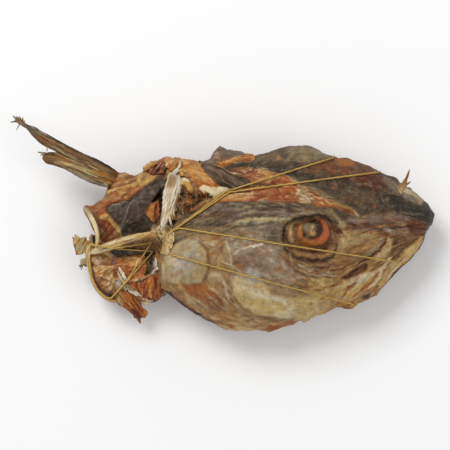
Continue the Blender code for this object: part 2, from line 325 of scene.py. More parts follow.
@dataclass(frozen=True)
class Mark:
    """A feature of a surface, seen from above: it tints the surface, raises it, or both.

    Attributes:
        tint: Its colour.
        cover: How strongly the colour covers, from 0 to 1.
        rise: Its height in millimetres; a negative one is a hollow.
        soft: The distance over which its edge fades, in millimetres.
        ragged: How far its edge wanders, in millimetres.
        gloss: Shine that it adds, from -1 to 1.
        grain: How strongly the fibres show in it, where 1 is usual, or None to leave them.
    """

    tint: Tint
    cover: float
    rise: float
    soft: float
    ragged: float = field(default=0.8, kw_only=True)
    gloss: float = field(default=0.0, kw_only=True)
    grain: float | None = field(default=None, kw_only=True)

    WAVES = 5  # how far the waves of the edge reach, where ragged is 1

    def reach(self) -> tuple[Array, Array]:
        """The lowest and highest x and y where the mark can show."""
        raise NotImplementedError

    def amount(self, x: Array, y: Array) -> Array:
        """How much of the mark each place has, from 0 to 1."""
        raise NotImplementedError


@dataclass(frozen=True)
class Area(Mark):
    """A mark with a closed outline through its points."""

    points: Path

    def reach(self) -> tuple[Array, Array]:
        """The lowest and highest x and y where the area can show."""
        rows, more = np.array(self.points, float), self.soft + self.ragged * self.WAVES
        return rows.min(axis=0) - more, rows.max(axis=0) + more

    def amount(self, x: Array, y: Array) -> Array:
        """How much of the area each place has, from 0 to 1.

        Args:
            x: Places, in millimetres.
            y: Places, in millimetres.

        Returns:
            The share for each place.
        """
        ring = through(self.points, closed=True, fine=3)
        gap, _ = to_line(x, y, np.vstack((ring, ring[:1])))
        return eased(np.where(inside(x, y, ring), gap, -gap) / self.soft + 0.5)


@dataclass(frozen=True)
class Streak(Mark):
    """A mark along a line.

    Attributes:
        width: Its full width, in millimetres.
        points: The line's points.
        taper: 0 keeps the width; 1 draws both ends to a point.
    """

    width: float
    points: Path
    taper: float = field(default=0.6, kw_only=True)

    def reach(self) -> tuple[Array, Array]:
        """The lowest and highest x and y where the streak can show."""
        rows, more = np.array(self.points, float), self.soft + self.ragged * self.WAVES + self.width
        return rows.min(axis=0) - more, rows.max(axis=0) + more

    def amount(self, x: Array, y: Array) -> Array:
        """How much of the streak each place has, from 0 to 1.

        Args:
            x: Places, in millimetres.
            y: Places, in millimetres.

        Returns:
            The share for each place.
        """
        gap, share = to_line(x, y, through(self.points))
        half = self.width / 2 * np.clip(4 * share * (1 - share), 0.02, 1) ** (self.taper / 2)
        return eased((half - gap) / min(self.soft, self.width) + 0.5)


@dataclass(frozen=True)
class Spot(Mark):
    """An oval mark round one point.

    Attributes:
        x: Its middle, in millimetres.
        y: Its middle, in millimetres.
        length: Its long diameter, in millimetres.
        width: Its short diameter, in millimetres.
        turn: The long diameter's angle from +X, in degrees.
    """

    x: float
    y: float
    length: float
    width: float
    turn: float = 0.0

    def reach(self) -> tuple[Array, Array]:
        """The lowest and highest x and y where the spot can show.

        Returns:
            The lowest x and y, and the highest.
        """
        middle = np.array((self.x, self.y))
        more = self.soft + self.ragged * self.WAVES + max(self.length, self.width) / 2
        return middle - more, middle + more

    def amount(self, x: Array, y: Array) -> Array:
        """How much of the spot each place has, from 0 to 1.

        Args:
            x: Places, in millimetres.
            y: Places, in millimetres.

        Returns:
            The share for each place.
        """
        turn = math.radians(self.turn)
        dx, dy = x - self.x, y - self.y
        along = (dx * math.cos(turn) + dy * math.sin(turn)) / self.length * 2
        across = (dy * math.cos(turn) - dx * math.sin(turn)) / self.width * 2
        gap = (1 - np.hypot(along, across)) * min(self.length, self.width) / 2
        return eased(gap / self.soft + 0.5)


@dataclass(frozen=True)
class Scatter:
    """Short marks of mixed colours strewn over an outlined region, roughly along its fibres.

    Attributes:
        count: How many there are.
        length: Usual length of one, in millimetres.
        width: Usual width of one, in millimetres.
        tints: Their colours, in turn.
        points: The region's outline.
        cover: How strongly a usual one covers, from 0 to 1.
        rise: Height of a usual one, in millimetres.
        soft: The distance over which their edges fade, in millimetres.
        stray: How far they turn from the fibres, in degrees.
    """

    count: int
    length: float
    width: float
    tints: tuple[Tint, ...]
    points: Path
    cover: float = 0.5
    rise: float = 0.3
    soft: float = 1.4
    stray: float = 18.0

    def strewn(self, flow: Flow) -> list[Mark]:
        """The single marks, over fibres that run along the flow.

        Args:
            flow: The run of the fibres under them.

        Returns:
            The marks.
        """
        draw = np.random.default_rng(self.count)
        ring = through(self.points, closed=True, fine=3)
        tries = draw.uniform(ring.min(axis=0), ring.max(axis=0), (self.count * 5, 2))
        places = tries[inside(*tries.T, ring)][: self.count]
        dx, dy = flow.heading(*places.T)
        turns = np.degrees(np.arctan2(dy, dx)) + draw.normal(0, self.stray, len(places))
        sizes = draw.uniform(0.5, 1.5, (len(places), 3))
        return [
            Spot(
                self.tints[k % len(self.tints)], min(1.0, self.cover * size[0]), self.rise * size[0], self.soft,
                place[0], place[1], self.length * size[1], self.width * size[2], turn,
            )
            for k, (place, turn, size) in enumerate(zip(places, turns, sizes))
        ]


Marks = tuple[Mark | Scatter, ...]


class Surface:
    """The points of one piece seen from above, with the height, colour and shine that marks give them."""

    PALE = "#cdbd97"
    DEEP = "#2c2019"
    WARM = "#96552a"
    COOL = "#847f74"
    WANDER = 5.0  # size of the waves in a mark's edge, in millimetres
    FRAY = 1.9  # size of the small teeth in it, in millimetres
    WANDER_LAYERS = (3.1, 9.7)  # places in the noise that move it along x and along y
    CLUMP = 11.0  # size of a clump of strong fibres, in millimetres
    CREASED_PATCH = 9.0  # size of a patch with strong creases, in millimetres
    CREASE = 0.16  # half of the width of a crease, and of its lip, in spreads of the fibre noise
    LIP = 0.34  # from the middle of a crease to the middle of its lip

    def __init__(
        self, x: Array, y: Array, base: Tint, seed: int, drop: Array | float = 0.0, layer: Array | float = 0.0
    ) -> None:
        """Start with one colour.

        Args:
            x: Places, in millimetres.
            y: Places, in millimetres.
            base: The colour under all marks.
            seed: Picks the irregularity.
            drop: Way down the piece's steep sides that y doesn't show, in millimetres.
            layer: Where the irregularity is to differ, such as on the underside.
        """
        self.x, self.y = x, y
        self.noise = Noise(seed)
        self.colour = np.tile(srgb(base.value), (len(x), 1))
        self.rise = np.zeros(len(x))
        self.gloss = np.zeros(len(x))
        self.grain = np.ones(len(x))
        self.flat = np.stack((x, y + drop, np.zeros(len(x)) + layer), axis=1)
        self.stray = np.ones(len(x)) + 2.0 * eased(np.abs(self.flat[:, 1] - y) / 20.0)
        self.wander = [
            (self.noise.at(self.flat / self.WANDER + lift) + 0.6 * self.noise.at(self.flat / self.FRAY + lift))
            * self.stray
            for lift in self.WANDER_LAYERS
        ]

    def add(self, marks: Marks, flow: Flow) -> None:
        """Lay marks on the surface, the later ones over the earlier ones.

        Args:
            marks: Single marks and scatters of marks.
            flow: The fibres' run, which scattered marks follow.
        """
        for mark in marks:
            if isinstance(mark, Scatter):
                self.add(mark.strewn(flow), flow)
                continue
            low, high = mark.reach()
            near = np.flatnonzero((self.x > low[0]) & (self.x < high[0]) & (self.y > low[1]) & (self.y < high[1]))
            if not len(near):
                continue
            x = self.x[near] + mark.ragged * self.wander[0][near]
            y = self.y[near] + mark.ragged * self.wander[1][near]
            amount = mark.amount(x, y)
            self.rise[near] += mark.rise * amount
            self.gloss[near] += mark.gloss * amount
            if mark.grain is not None:
                self.grain[near] += (mark.grain - self.grain[near]) * amount
            share = (mark.cover * amount)[:, None]
            self.colour[near] += (srgb(mark.tint.value) - self.colour[near]) * share

    def shade(self, amount: Array) -> None:
        """Shift the colour towards pale fibre where amount is positive and towards dark gaps where it is negative;
        the creases use it for painted shade and a painted highlight.

        Args:
            amount: The shift of each point, where 1 is the whole way.
        """
        share = np.clip(amount, -0.85, 0.85)[:, None]
        goal = np.where(share > 0, srgb(self.PALE), srgb(self.DEEP))
        self.colour += (goal - self.colour) * np.abs(share)

    def streaked(self, flow: Flow, width: float, length: float, shade: float, height: float) -> None:
        """Vary shade and height along the fibres.

        Args:
            flow: The fibres' run.
            width: Width of one fibre, in millimetres.
            length: Length of one fibre, in millimetres.
            shade: Share by which a usual fibre is lighter or darker.
            height: Height of a usual fibre, in millimetres.
        """
        fibre = flow.fibres(self.flat, self.noise, width, length)
        clump = 0.45 + 1.1 * eased(0.5 + self.noise.layered(self.flat / self.CLUMP + width, 2))
        fibre = fibre * clump * self.grain
        self.shade(shade * fibre)
        self.rise += height * fibre

    def creased(self, flow: Flow, width: float, shade: float, depth: float) -> None:
        """Draw fine creases that run roughly along the fibres: painted shade in each crease and a painted highlight
        on its pale lip.

        Args:
            flow: The fibres' run.
            width: Usual distance between creases, in millimetres.
            shade: Share by which a crease is darker.
            depth: Depth of a crease, in millimetres.
        """
        fibre = flow.fibres(self.flat + (0, 0, 50), self.noise, width, width * 3.0)
        where = eased(0.35 + 0.9 * self.noise.layered(self.flat / self.CREASED_PATCH + 13, 2)) * self.grain
        line = np.exp(-((fibre / self.CREASE) ** 2)) * where
        lip = np.exp(-(((fibre - self.LIP) / self.CREASE) ** 2)) * where
        # painted shade darkens the crease line, and a painted highlight lightens its lip
        self.shade(shade * (0.7 * lip - line))
        self.rise += depth * (0.5 * lip - line)

    def mottled(self, size: float, shade: float, height: float) -> None:
        """Vary shade, warmth and height in patches.

        Args:
            size: Size of a patch, in millimetres.
            shade: Share by which a usual patch is lighter or darker.
            height: Height of a usual patch, in millimetres.
        """
        patch = self.noise.layered(self.flat / size + size, 3)
        self.shade(shade * patch)
        warm = np.clip(self.noise.layered(self.flat / (size * 0.8) + 57, 2) * shade * 1.6, -0.5, 0.5)[:, None]
        goal = np.where(warm > 0, srgb(self.WARM), srgb(self.COOL))
        self.colour += (goal - self.colour) * np.abs(warm)
        self.rise += height * patch


# ---------------------------------------------------------------- closed forms


@dataclass
class Shape:
    """What a form gives each of its points: place in millimetres, sRGB colour, and shine."""

    place: Array
    colour: Array
    gloss: Array


class Form(Protocol):
    """A ball that is pulled into shape, with points round each ring and rings along it."""

    around: int
    along: int

    def shape(self, share: Array, turn: Array) -> Shape:
        """Place and colour the points of the ball."""


@dataclass(frozen=True)
class Section:
    """One station of a loft: the far and near edges, the crest between them, and their heights."""

    x: float
    far: float
    near: float
    crest: float
    top: float
    rim: float
    floor: float


@dataclass
class Loft:
    """A closed body through sections, with marks on its upper side.

    Attributes:
        sections: The stations from low to high x.
        around: Points round a ring.
        along: Rings from end to end.
        base: The colour under all marks.
        marks: Features, from the lowest layer to the top one.
        flow: The run of the fibres.
        seed: Picks the irregularity.
        far_edge: Outline on the far side, as (x, y), where it is finer than the sections.
        near_edge: Outline on the near side, as (x, y).
        fibre: Shade and height of the fibres.
        patch: Shade and height of the patches.
        under: Colour of the underside.
        bright: Factor on the brightness of all colours.
    """

    sections: tuple[Section, ...]
    around: int
    along: int
    base: Tint
    marks: Marks
    flow: Flow
    seed: int
    far_edge: Path = ()
    near_edge: Path = ()
    fibre: tuple[float, float] = (0.07, 0.28)
    patch: tuple[float, float] = (0.16, 0.5)
    under: Tint = UMBER
    bright: float = 1.0

    FLOOR_OVERSHOOT = 1.12
    NEAR_KEEN = 1.3
    FAR_KEEN = 1.12
    UNDERSIDE_SHARE = 0.4
    # width and length of the fibres, in millimetres, and factors on their shade and height
    FIBRE_LAYERS = ((3.6, 16.0, 0.6, 0.8), (1.4, 5.0, 1.2, 0.4))
    FINE = 720  # steps round a section while its arc is measured

    def stations(self) -> tuple[Array, Array]:
        """The x of each ring, and the six values of its section.

        Returns:
            The places along x, and a row of values for each.
        """
        share = np.linspace(0, 1, self.along + 1)
        start, end = self.sections[0].x, self.sections[-1].x
        x = start + (end - start) * (0.3 * (1 - np.cos(math.pi * share)) / 2 + 0.7 * share)
        rows = np.array([(s.x, s.far, s.near, s.crest, s.top, s.rim, s.floor) for s in self.sections])
        k = np.clip(np.searchsorted(rows[:, 0], x, side="right") - 1, 0, len(rows) - 2)
        t = (x - rows[k, 0]) / (rows[k + 1, 0] - rows[k, 0])
        t = eased(t) * 0.35 + t * 0.65
        values = rows[k, 1:] + (rows[k + 1, 1:] - rows[k, 1:]) * t[:, None]
        for column, edge in ((0, self.far_edge), (1, self.near_edge)):
            if edge:
                known = np.array(edge)
                covered = (x >= known[0, 0]) & (x <= known[-1, 0])
                values[covered, column] = np.interp(x[covered], known[:, 0], known[:, 1])
        return x, values

    def ring_point(self, values: Array, theta: Array) -> tuple[Array, Array, Array]:
        """y, z and lift at the angles theta of sections with these values.

        Args:
            values: The six values of each point's section.
            theta: Each point's angle round its section.

        Returns:
            The y, the z and the lift, which is 1 on the crest and -1 underneath.
        """
        far, near, crest, top, rim, floor = values.T
        side, lift = np.cos(theta), np.sin(theta)
        keen = np.where(side > 0, self.FAR_KEEN, self.NEAR_KEEN)
        y = crest + (np.where(side > 0, far, near) - crest) * np.abs(side) ** keen
        raised = rim + (top - rim) * np.clip(lift, 0, 1) ** keen
        sunk = np.maximum(floor, rim + (rim - floor) * self.FLOOR_OVERSHOOT * lift)
        return y, np.where(lift >= 0, raised, sunk), lift

    def shape(self, share: Array, turn: Array) -> Shape:
        """Place and colour the points of the ball.

        Args:
            share: Each point's share of the way from the first ring to the last.
            turn: Each point's share of a turn round its ring.

        Returns:
            The shape of the loft.
        """
        stations, values = self.stations()
        ring = np.round(share * self.along).astype(int)
        fine = np.linspace(0, math.tau, self.FINE + 1)
        crest = self.FINE // 4
        found = np.zeros((4, len(share)))
        order = np.argsort(ring, kind="stable")
        edges = np.searchsorted(ring[order], np.arange(self.along + 2))
        for k in range(self.along + 1):
            picked = order[edges[k] : edges[k + 1]]
            y, z, lift = self.ring_point(np.repeat(values[k : k + 1], len(fine), axis=0), fine)
            steps = np.hypot(np.diff(y), np.diff(z)) + 1e-6
            steep = np.maximum(steps - 1.25 * np.abs(np.diff(y)), 0)
            fallen = np.concatenate(([0.0], np.cumsum(steep)))
            drop = fallen[crest] - fallen
            drop = np.where(fine > 1.5 * math.pi, drop + fallen[-1], drop)
            way = np.stack((np.gradient(y), np.gradient(z))) + 1e-9
            way /= np.hypot(*way)
            steps = steps * np.where(lift[1:] + lift[:-1] > -0.3, 1.0, self.UNDERSIDE_SHARE)
            walked = np.concatenate(([0.0], np.cumsum(steps)))
            at = turn[picked] * walked[-1]
            for row, wanted in zip(found, (fine, drop, way[1], -way[0])):
                row[picked] = np.interp(at, walked, wanted)
        theta, drop, out_y, out_z = found
        y, z, lift = self.ring_point(values[ring], theta)
        x = stations[ring]
        surface = Surface(x, y, self.base, self.seed, drop, 4.0 * eased(-2.0 * lift))
        surface.mottled(16.0, *self.patch)
        surface.add(self.marks, self.flow)
        surface.colour += (srgb(self.under.value) - surface.colour) * eased(-1.5 * lift - 0.1)[:, None]
        surface.mottled(4.5, self.patch[0], self.patch[1] * 0.35)
        for width, length, shade, height in self.FIBRE_LAYERS:
            surface.streaked(self.flow, width, length, self.fibre[0] * shade, self.fibre[1] * height)
        # creases with painted shade, and a painted highlight on their lips
        surface.creased(self.flow, 6.0, self.fibre[0] * 3.5, self.fibre[1] * 1.6)
        relief = surface.rise * eased(3.0 * lift + 1.6) * (1 - 0.6 * np.abs(out_y))
        y, z = y + relief * out_y, z + relief * out_z
        rough = surface.noise.layered(np.stack((x, y, z), axis=1) / 7.0 + 31, 3)
        y = y + (1 - eased(3.0 * lift)) * 0.7 * rough
        z = np.where((lift < 0) & (z > values[ring, 5] + 0.5), z + 0.8 * rough, z)
        return Shape(
            np.stack((x, y, np.maximum(z, 0.0)), axis=1), deepened(surface.colour * self.bright), surface.gloss
        )


def stored(name: str, bm: bmesh.types.BMesh) -> tuple[bpy.types.Mesh, Array]:
    """Store a bmesh, and free it.

    Args:
        name: The mesh's name.
        bm: What is stored.

    Returns:
        The mesh, and the place of each of its points as a row.
    """
    mesh = bpy.data.meshes.new(name)
    bm.to_mesh(mesh)
    bm.free()
    places = np.empty(len(mesh.vertices) * 3, np.float32)
    mesh.vertices.foreach_get("co", places)
    return mesh, places.reshape(-1, 3)


def placed(
    mesh: bpy.types.Mesh, shape: Shape, finish: "Tissue", stands_for: str, merge: float = 0.0
) -> bpy.types.Object:
    """Give a mesh its final shape and colours, and fix it to the frame as an object.

    Args:
        mesh: The mesh.
        shape: The place, colour and shine of each of its points.
        finish: What it is made of.
        stands_for: The CAD node that it stands for.
        merge: Points closer than this are merged, in metres.

    Returns:
        The object.
    """
    mesh.vertices.foreach_set("co", (shape.place * MM).astype(np.float32).ravel())
    colours = np.ones((len(shape.colour), 4))
    colours[:, :3] = linear(shape.colour)
    tint = mesh.attributes.new("tint", "FLOAT_COLOR", "POINT")
    tint.data.foreach_set("color", colours.astype(np.float32).ravel())
    shine = mesh.attributes.new("gloss", "FLOAT", "POINT")
    shine.data.foreach_set("value", shape.gloss.astype(np.float32))
    bm = bmesh.new()
    bm.from_mesh(mesh)
    if merge:
        bmesh.ops.remove_doubles(bm, verts=bm.verts, dist=merge)
    bmesh.ops.recalc_face_normals(bm, faces=bm.faces)
    bm.to_mesh(mesh)
    bm.free()
    mesh.shade_smooth()
    mesh.materials.append(finish.material())
    piece = bpy.data.objects.new(mesh.name, mesh)
    bpy.context.scene.collection.objects.link(piece)
    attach(piece, BODY)
    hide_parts(stands_for)
    return piece


def fish_piece(name: str, forms: list[Form], finish: "Tissue") -> bpy.types.Object:
    """Make one piece of the fish from closed forms.

    Args:
        name: The object's name.
        forms: The closed forms that make it up.
        finish: What it is made of.

    Returns:
        The object.
    """
    bm = bmesh.new()
    tag = bm.verts.layers.int.new("form")
    for k, form in enumerate(forms):
        ball = bmesh.ops.create_uvsphere(bm, u_segments=form.around, v_segments=form.along, radius=1.0)
        for vert in ball["verts"]:
            vert[tag] = k
    mesh, places = stored(name, bm)
    places = places.astype(float)
    owner = np.empty(len(places), np.int32)
    mesh.attributes["form"].data.foreach_get("value", owner)
    mesh.attributes.remove(mesh.attributes["form"])
    whole = Shape(np.zeros_like(places), np.zeros_like(places), np.zeros(len(places)))
    for k, form in enumerate(forms):
        own = np.flatnonzero(owner == k)
        share = np.arccos(np.clip(places[own, 2], -1, 1)) / math.pi
        turn = np.arctan2(places[own, 1], places[own, 0]) / math.tau % 1.0
        made = form.shape(share, turn)
        whole.place[own], whole.colour[own], whole.gloss[own] = made.place, made.colour, made.gloss
    return placed(mesh, whole, finish, FISH)


@dataclass
class Strip:
    """A flat strip along a spine, such as a strap, a fin ray or a torn fibre.

    Attributes:
        spine: Rows of x, y, z, width, thickness and roll in degrees, from root to tip.
        tints: Colours from root to tip.
        edge: Colour of both edges, or None.
        around: Points round a ring.
        along: Rings from end to end.
        fibre: Share by which a usual fibre is lighter or darker.
        ridge: Height of a usual fibre, in millimetres.
        pitch: Width of a fibre, in millimetres.
        blunt: 2 gives round ends, and 8 gives square ones.
        ragged: Share by which the width wanders.
        gloss: Shine.
        seed: Picks the irregularity.
        marks: Features, seen from above.
    """

    spine: Path
    tints: tuple[Tint, ...]
    edge: Tint | None = None
    around: int = 12
    along: int = 24
    fibre: float = 0.14
    ridge: float = 0.15
    pitch: float = 1.4
    blunt: float = 8.0
    ragged: float = 0.12
    gloss: float = 0.0
    seed: int = 1
    marks: Marks = ()

    def shape(self, share: Array, turn: Array) -> Shape:
        """Place and colour the points of the ball.

        Args:
            share: Each point's share of the way from the first ring to the last.
            turn: Each point's share of a turn round its ring.

        Returns:
            The shape of the strip.
        """
        rows = through(self.spine, fine=6)
        walked = np.concatenate(([0.0], np.cumsum(np.linalg.norm(np.diff(rows[:, :3], axis=0), axis=1))))
        length = walked[-1]
        ways = np.gradient(rows[:, :3], axis=0)
        ways /= np.linalg.norm(ways, axis=1, keepdims=True)
        at = share * length
        x, y, z, width, thickness, roll = (np.interp(at, walked, column) for column in rows.T)
        forward = np.stack([np.interp(at, walked, column) for column in ways.T], axis=1)
        level = np.cross(forward, np.array([0.0, 0.0, 1.0]))
        level /= np.linalg.norm(level, axis=1, keepdims=True) + 1e-9
        upright = np.cross(level, forward)
        roll = np.radians(roll)[:, None]
        across = level * np.cos(roll) + upright * np.sin(roll)
        face = upright * np.cos(roll) - level * np.sin(roll)
        side, lift = np.cos(turn * math.tau), np.sin(turn * math.tau)
        end = np.sqrt(np.clip(1 - np.abs(2 * share - 1) ** self.blunt, 0, 1))
        noise = Noise(self.seed)
        edge_way = np.where(side > 0, 4.0, 9.0)
        wander = noise.at(np.stack((at / 6.0, edge_way, np.zeros(len(at))), axis=1))
        wander += 0.6 * noise.at(np.stack((at / 2.2, edge_way, np.ones(len(at))), axis=1))
        reach = side * width / 2 * (1 + self.ragged * wander)
        spread = np.stack((at / 13.0, reach / self.pitch, np.where(lift > 0, 2.0, 5.0)), axis=1)
        strand = noise.layered(spread, 2) * 1.6
        high = lift * thickness / 2 + np.sign(lift) * self.ridge * strand * np.abs(lift)
        place = np.stack((x, y, z), axis=1)
        place += across * (reach * end)[:, None] + face * (high * end)[:, None]
        stops = np.linspace(0, 1, len(self.tints)) if len(self.tints) > 1 else np.array([0.0])
        known = np.array([srgb(tint.value) for tint in self.tints])
        colour = np.stack([np.interp(share, stops, known[:, k]) for k in range(3)], axis=1)
        if self.edge is not None:
            share_of_edge = eased((np.abs(side) - 0.72) / 0.25)[:, None] * 0.8
            colour += (srgb(self.edge.value) - colour) * share_of_edge
        surface = Surface(place[:, 0], place[:, 1], self.tints[0], self.seed)
        surface.colour = colour
        start, end = self.spine[0], self.spine[-1]
        lie = math.degrees(math.atan2(end[1] - start[1], end[0] - start[0]))
        surface.add(self.marks, Flow((), lie))
        surface.shade(self.fibre * strand)
        place[:, 2] += surface.rise * (lift > -0.2)
        return Shape(place, deepened(surface.colour), self.gloss + surface.gloss)


@dataclass
class Ground:
    """What lies under a piece: asked for its height at places seen from above."""

    pieces: Pieces

    ABOVE = 0.3  # a height over all pieces, in metres
    BELOW = -0.1  # a height under all pieces, in metres
    NEAR = 0.02  # how far the skin is searched for, in metres

    def __post_init__(self) -> None:
        """Build one search tree for each piece."""
        graph = bpy.context.evaluated_depsgraph_get()
        graph.update()
        self.trees = [BVHTree.FromObject(piece, graph) for piece in self.pieces]

    def top(self, x: float, y: float) -> float | None:
        """The highest point over (x, y), in millimetres, or None beside the pieces."""
        heights = self.met(Vector((x * MM, y * MM, self.ABOVE)), -1)
        return max(heights) if heights else None

    def bottom(self, x: float, y: float) -> float | None:
        """The lowest point over (x, y), in millimetres, or None beside the pieces."""
        heights = self.met(Vector((x * MM, y * MM, self.BELOW)), 1)
        return min(heights) if heights else None

    def met(self, start: Vector, way: int) -> list[float]:
        """The height where a ray from start, up or down, meets each piece, in millimetres."""
        hits = [tree.ray_cast(start, Vector((0, 0, way)))[0] for tree in self.trees]
        return [hit.z / MM for hit in hits if hit is not None]

    def pushed_out(self, point: Vector, clearance: float) -> Vector:
        """A point in millimetres, moved off every piece until it is clear of the skin.

        Args:
            point: The point.
            clearance: Its least distance from the skin, in millimetres.

        Returns:
            The moved point.
        """
        for tree in self.trees:
            where, normal, _, distance = tree.find_nearest(point * MM, self.NEAR)
            if where is None:
                continue
            if (point * MM - where).dot(normal) < 0 or distance / MM < clearance:
                point = where / MM + normal * clearance
        return point

    def heights(self, x: Array, y: Array) -> Array:
        """The height at each place, or at the nearest place that has one.

        Args:
            x: Places, in millimetres.
            y: Places, in millimetres.

        Returns:
            The heights, in millimetres.
        """
        found = [self.top(float(a), float(b)) for a, b in zip(x, y)]
        z = np.array([np.nan if height is None else height for height in found])
        known = np.flatnonzero(~np.isnan(z))
        for k in np.flatnonzero(np.isnan(z)):
            z[k] = z[known[np.argmin((x[known] - x[k]) ** 2 + (y[known] - y[k]) ** 2)]]
        return z


@dataclass
class Flake:
    """A thin closed scale, flap or lump with a free outline, seen from above.

    Attributes:
        outline: Its edge, as (x, y).
        level: Height of its middle, in millimetres, or above the ground under it.
        base: The colour under all marks.
        tilt: Rise for each millimetre along x and y.
        thickness: Thickness in the middle, in millimetres.
        dome: Height of its bulge, in millimetres.
        curl: How far its rim bends up, in millimetres.
        ground: What it is draped over, if anything.
        marks: Features, from the lowest layer to the top one.
        grain: Angle of its fibres, in degrees.
        fibre: Shade and height of its fibres.
        crease: Height of its lumps, in millimetres.
        around: Points round a ring.
        along: Rings from top to bottom.
        gloss: Shine.
        seed: Picks the irregularity.
        torn: How far its edge wanders, in millimetres.
    """

    outline: Path
    level: float
    base: Tint
    tilt: tuple[float, float] = (0.0, 0.0)
    thickness: float = 2.0
    dome: float = 0.0
    curl: float = 0.0
    ground: Ground | None = None
    marks: Marks = ()
    grain: float = 0.0
    fibre: tuple[float, float] = (0.09, 0.15)
    crease: float = 0.3
    around: int = 60
    along: int = 28
    gloss: float = 0.0
    seed: int = 1
    torn: float = 0.5

    def shape(self, share: Array, turn: Array) -> Shape:
        """Place and colour the points of the ball.

        Args:
            share: Each point's share of the way from the first ring to the last.
            turn: Each point's share of a turn round its ring.

        Returns:
            The shape of the flake.
        """
        ring = through(self.outline, closed=True, fine=6)
        middle = (ring.max(axis=0) + ring.min(axis=0)) / 2
        away = ring - middle
        angle = np.arctan2(away[:, 1], away[:, 0]) % math.tau
        order = np.argsort(angle)
        angle, reach = angle[order], np.hypot(*away[order].T)
        angle = np.concatenate((angle - math.tau, angle, angle + math.tau))
        way = turn * math.tau
        radius = np.interp(way, angle, np.tile(reach, 3))
        noise = Noise(self.seed)
        rim = np.stack((np.cos(way) * radius / 3.0, np.sin(way) * radius / 3.0, np.full(len(way), 3.3)), axis=1)
        radius = radius + self.torn * noise.layered(rim, 2)
        part = 1 - np.abs(2 * share - 1)
        x = middle[0] + np.cos(way) * radius * part
        y = middle[1] + np.sin(way) * radius * part
        surface = Surface(x, y, self.base, self.seed)
        surface.mottled(7.0, 0.08, self.crease)
        flow = Flow((), self.grain)
        surface.add(self.marks, flow)
        surface.streaked(flow, 1.6, 10.0, *self.fibre)
        z = self.level + (x - middle[0]) * self.tilt[0] + (y - middle[1]) * self.tilt[1]
        if self.ground is not None:
            z = z + self.ground.heights(x, y)
        z += self.dome * (1 - part**2) + self.curl * part**3 + surface.rise
        half = self.thickness / 2 * np.sqrt(np.clip(1 - part**5, 0, 1))
        z += np.where(share < 0.5, half, -half)
        return Shape(np.stack((x, y, z), axis=1), deepened(surface.colour), self.gloss + surface.gloss)


# ---------------------------------------------------------------- finishes


def node(tree: bpy.types.NodeTree, kind: str, inputs: dict | None = None, **settings: object) -> bpy.types.Node:
    """Add a node.

    Args:
        tree: The material's node tree.
        kind: The node's type.
        inputs: For each socket, by name or place, its value or the socket that feeds it.
        **settings: The node's own settings.

    Returns:
        The node.
    """
    made = tree.nodes.new(kind)
    for name, value in settings.items():
        setattr(made, name, value)
    for key, value in (inputs or {}).items():
        if isinstance(value, bpy.types.NodeSocket):
            tree.links.new(value, made.inputs[key])
        else:
            made.inputs[key].default_value = value
    return made


@dataclass(frozen=True)
class Tissue:
    """Dried fish tissue, whose colour and shine come from the marks on each piece.

    Attributes:
        name: The material's name.
        dull: Roughness where the shine is 0.
        shiny: Roughness where the shine is 1.
        grit: Size of the finest wrinkles, in millimetres.
        depth: Height of the finest wrinkles, in millimetres.
        fleck: Share by which flecks are lighter or darker.
        coat: Weight of a thin oily film.
    """

    name: str
    dull: float
    shiny: float
    grit: float
    depth: float
    fleck: float
    coat: float = 0.0

    FLECK_SIZE = 2.6  # in wrinkles
    WEAR = 0.24  # how much rougher a light fleck is than a dark one
    GLINT = (0.45, 0.14)  # strength of the highlight that the shine adds, and of the one without it
    RELIEF_DETAIL = {"Detail": 3.0, "Roughness": 0.6}
    FLECK_DETAIL = {"Detail": 4.0, "Roughness": 0.65}

    def material(self) -> bpy.types.Material:
        """Build the material.

        Returns:
            The material.
        """
        made = bpy.data.materials.new(self.name)
        made.use_nodes = True
        tree = made.node_tree
        shader = tree.nodes["Principled BSDF"]
        tint = node(tree, "ShaderNodeAttribute", attribute_name="tint", attribute_type="GEOMETRY")
        gloss = node(tree, "ShaderNodeAttribute", attribute_name="gloss", attribute_type="GEOMETRY").outputs["Fac"]
        place = node(tree, "ShaderNodeTexCoord").outputs["Object"]
        per_cell = 1 / (self.grit * MM)
        fine = node(tree, "ShaderNodeTexNoise", {"Vector": place, "Scale": per_cell} | self.RELIEF_DETAIL)
        larger = {"Vector": place, "Scale": per_cell / self.FLECK_SIZE}
        flecks = node(tree, "ShaderNodeTexNoise", larger | self.FLECK_DETAIL).outputs["Fac"]
        shade = node(
            tree, "ShaderNodeMapRange",
            {"Value": flecks, "From Min": 0.3, "From Max": 0.7, "To Min": 1 - self.fleck, "To Max": 1 + self.fleck},
        )
        colour = node(
            tree, "ShaderNodeMix", {0: 1.0, 6: tint.outputs["Color"], 7: shade.outputs["Result"]},
            data_type="RGBA", blend_type="MULTIPLY",
        )
        tree.links.new(colour.outputs[2], shader.inputs["Base Color"])
        rough = node(tree, "ShaderNodeMapRange", {"Value": gloss, "To Min": self.dull, "To Max": self.shiny})
        worn = node(
            tree, "ShaderNodeMath", {0: flecks, 1: self.WEAR, 2: rough.outputs["Result"]}, operation="MULTIPLY_ADD"
        )
        evened = node(
            tree, "ShaderNodeMath", {0: worn.outputs[0], 1: self.WEAR / 2}, operation="SUBTRACT", use_clamp=True
        )
        tree.links.new(evened.outputs[0], shader.inputs["Roughness"])
        added, least = self.GLINT
        glint = node(tree, "ShaderNodeMath", {0: gloss, 1: added, 2: least}, operation="MULTIPLY_ADD")
        tree.links.new(glint.outputs[0], shader.inputs["Specular IOR Level"])
        bump = node(
            tree, "ShaderNodeBump", {"Height": fine.outputs["Fac"], "Strength": 1.0, "Distance": self.depth * MM}
        )
        tree.links.new(bump.outputs["Normal"], shader.inputs["Normal"])
        shader.inputs["IOR"].default_value = 1.45
        shader.inputs["Coat Weight"].default_value = self.coat
        shader.inputs["Coat Roughness"].default_value = 0.3
        return made


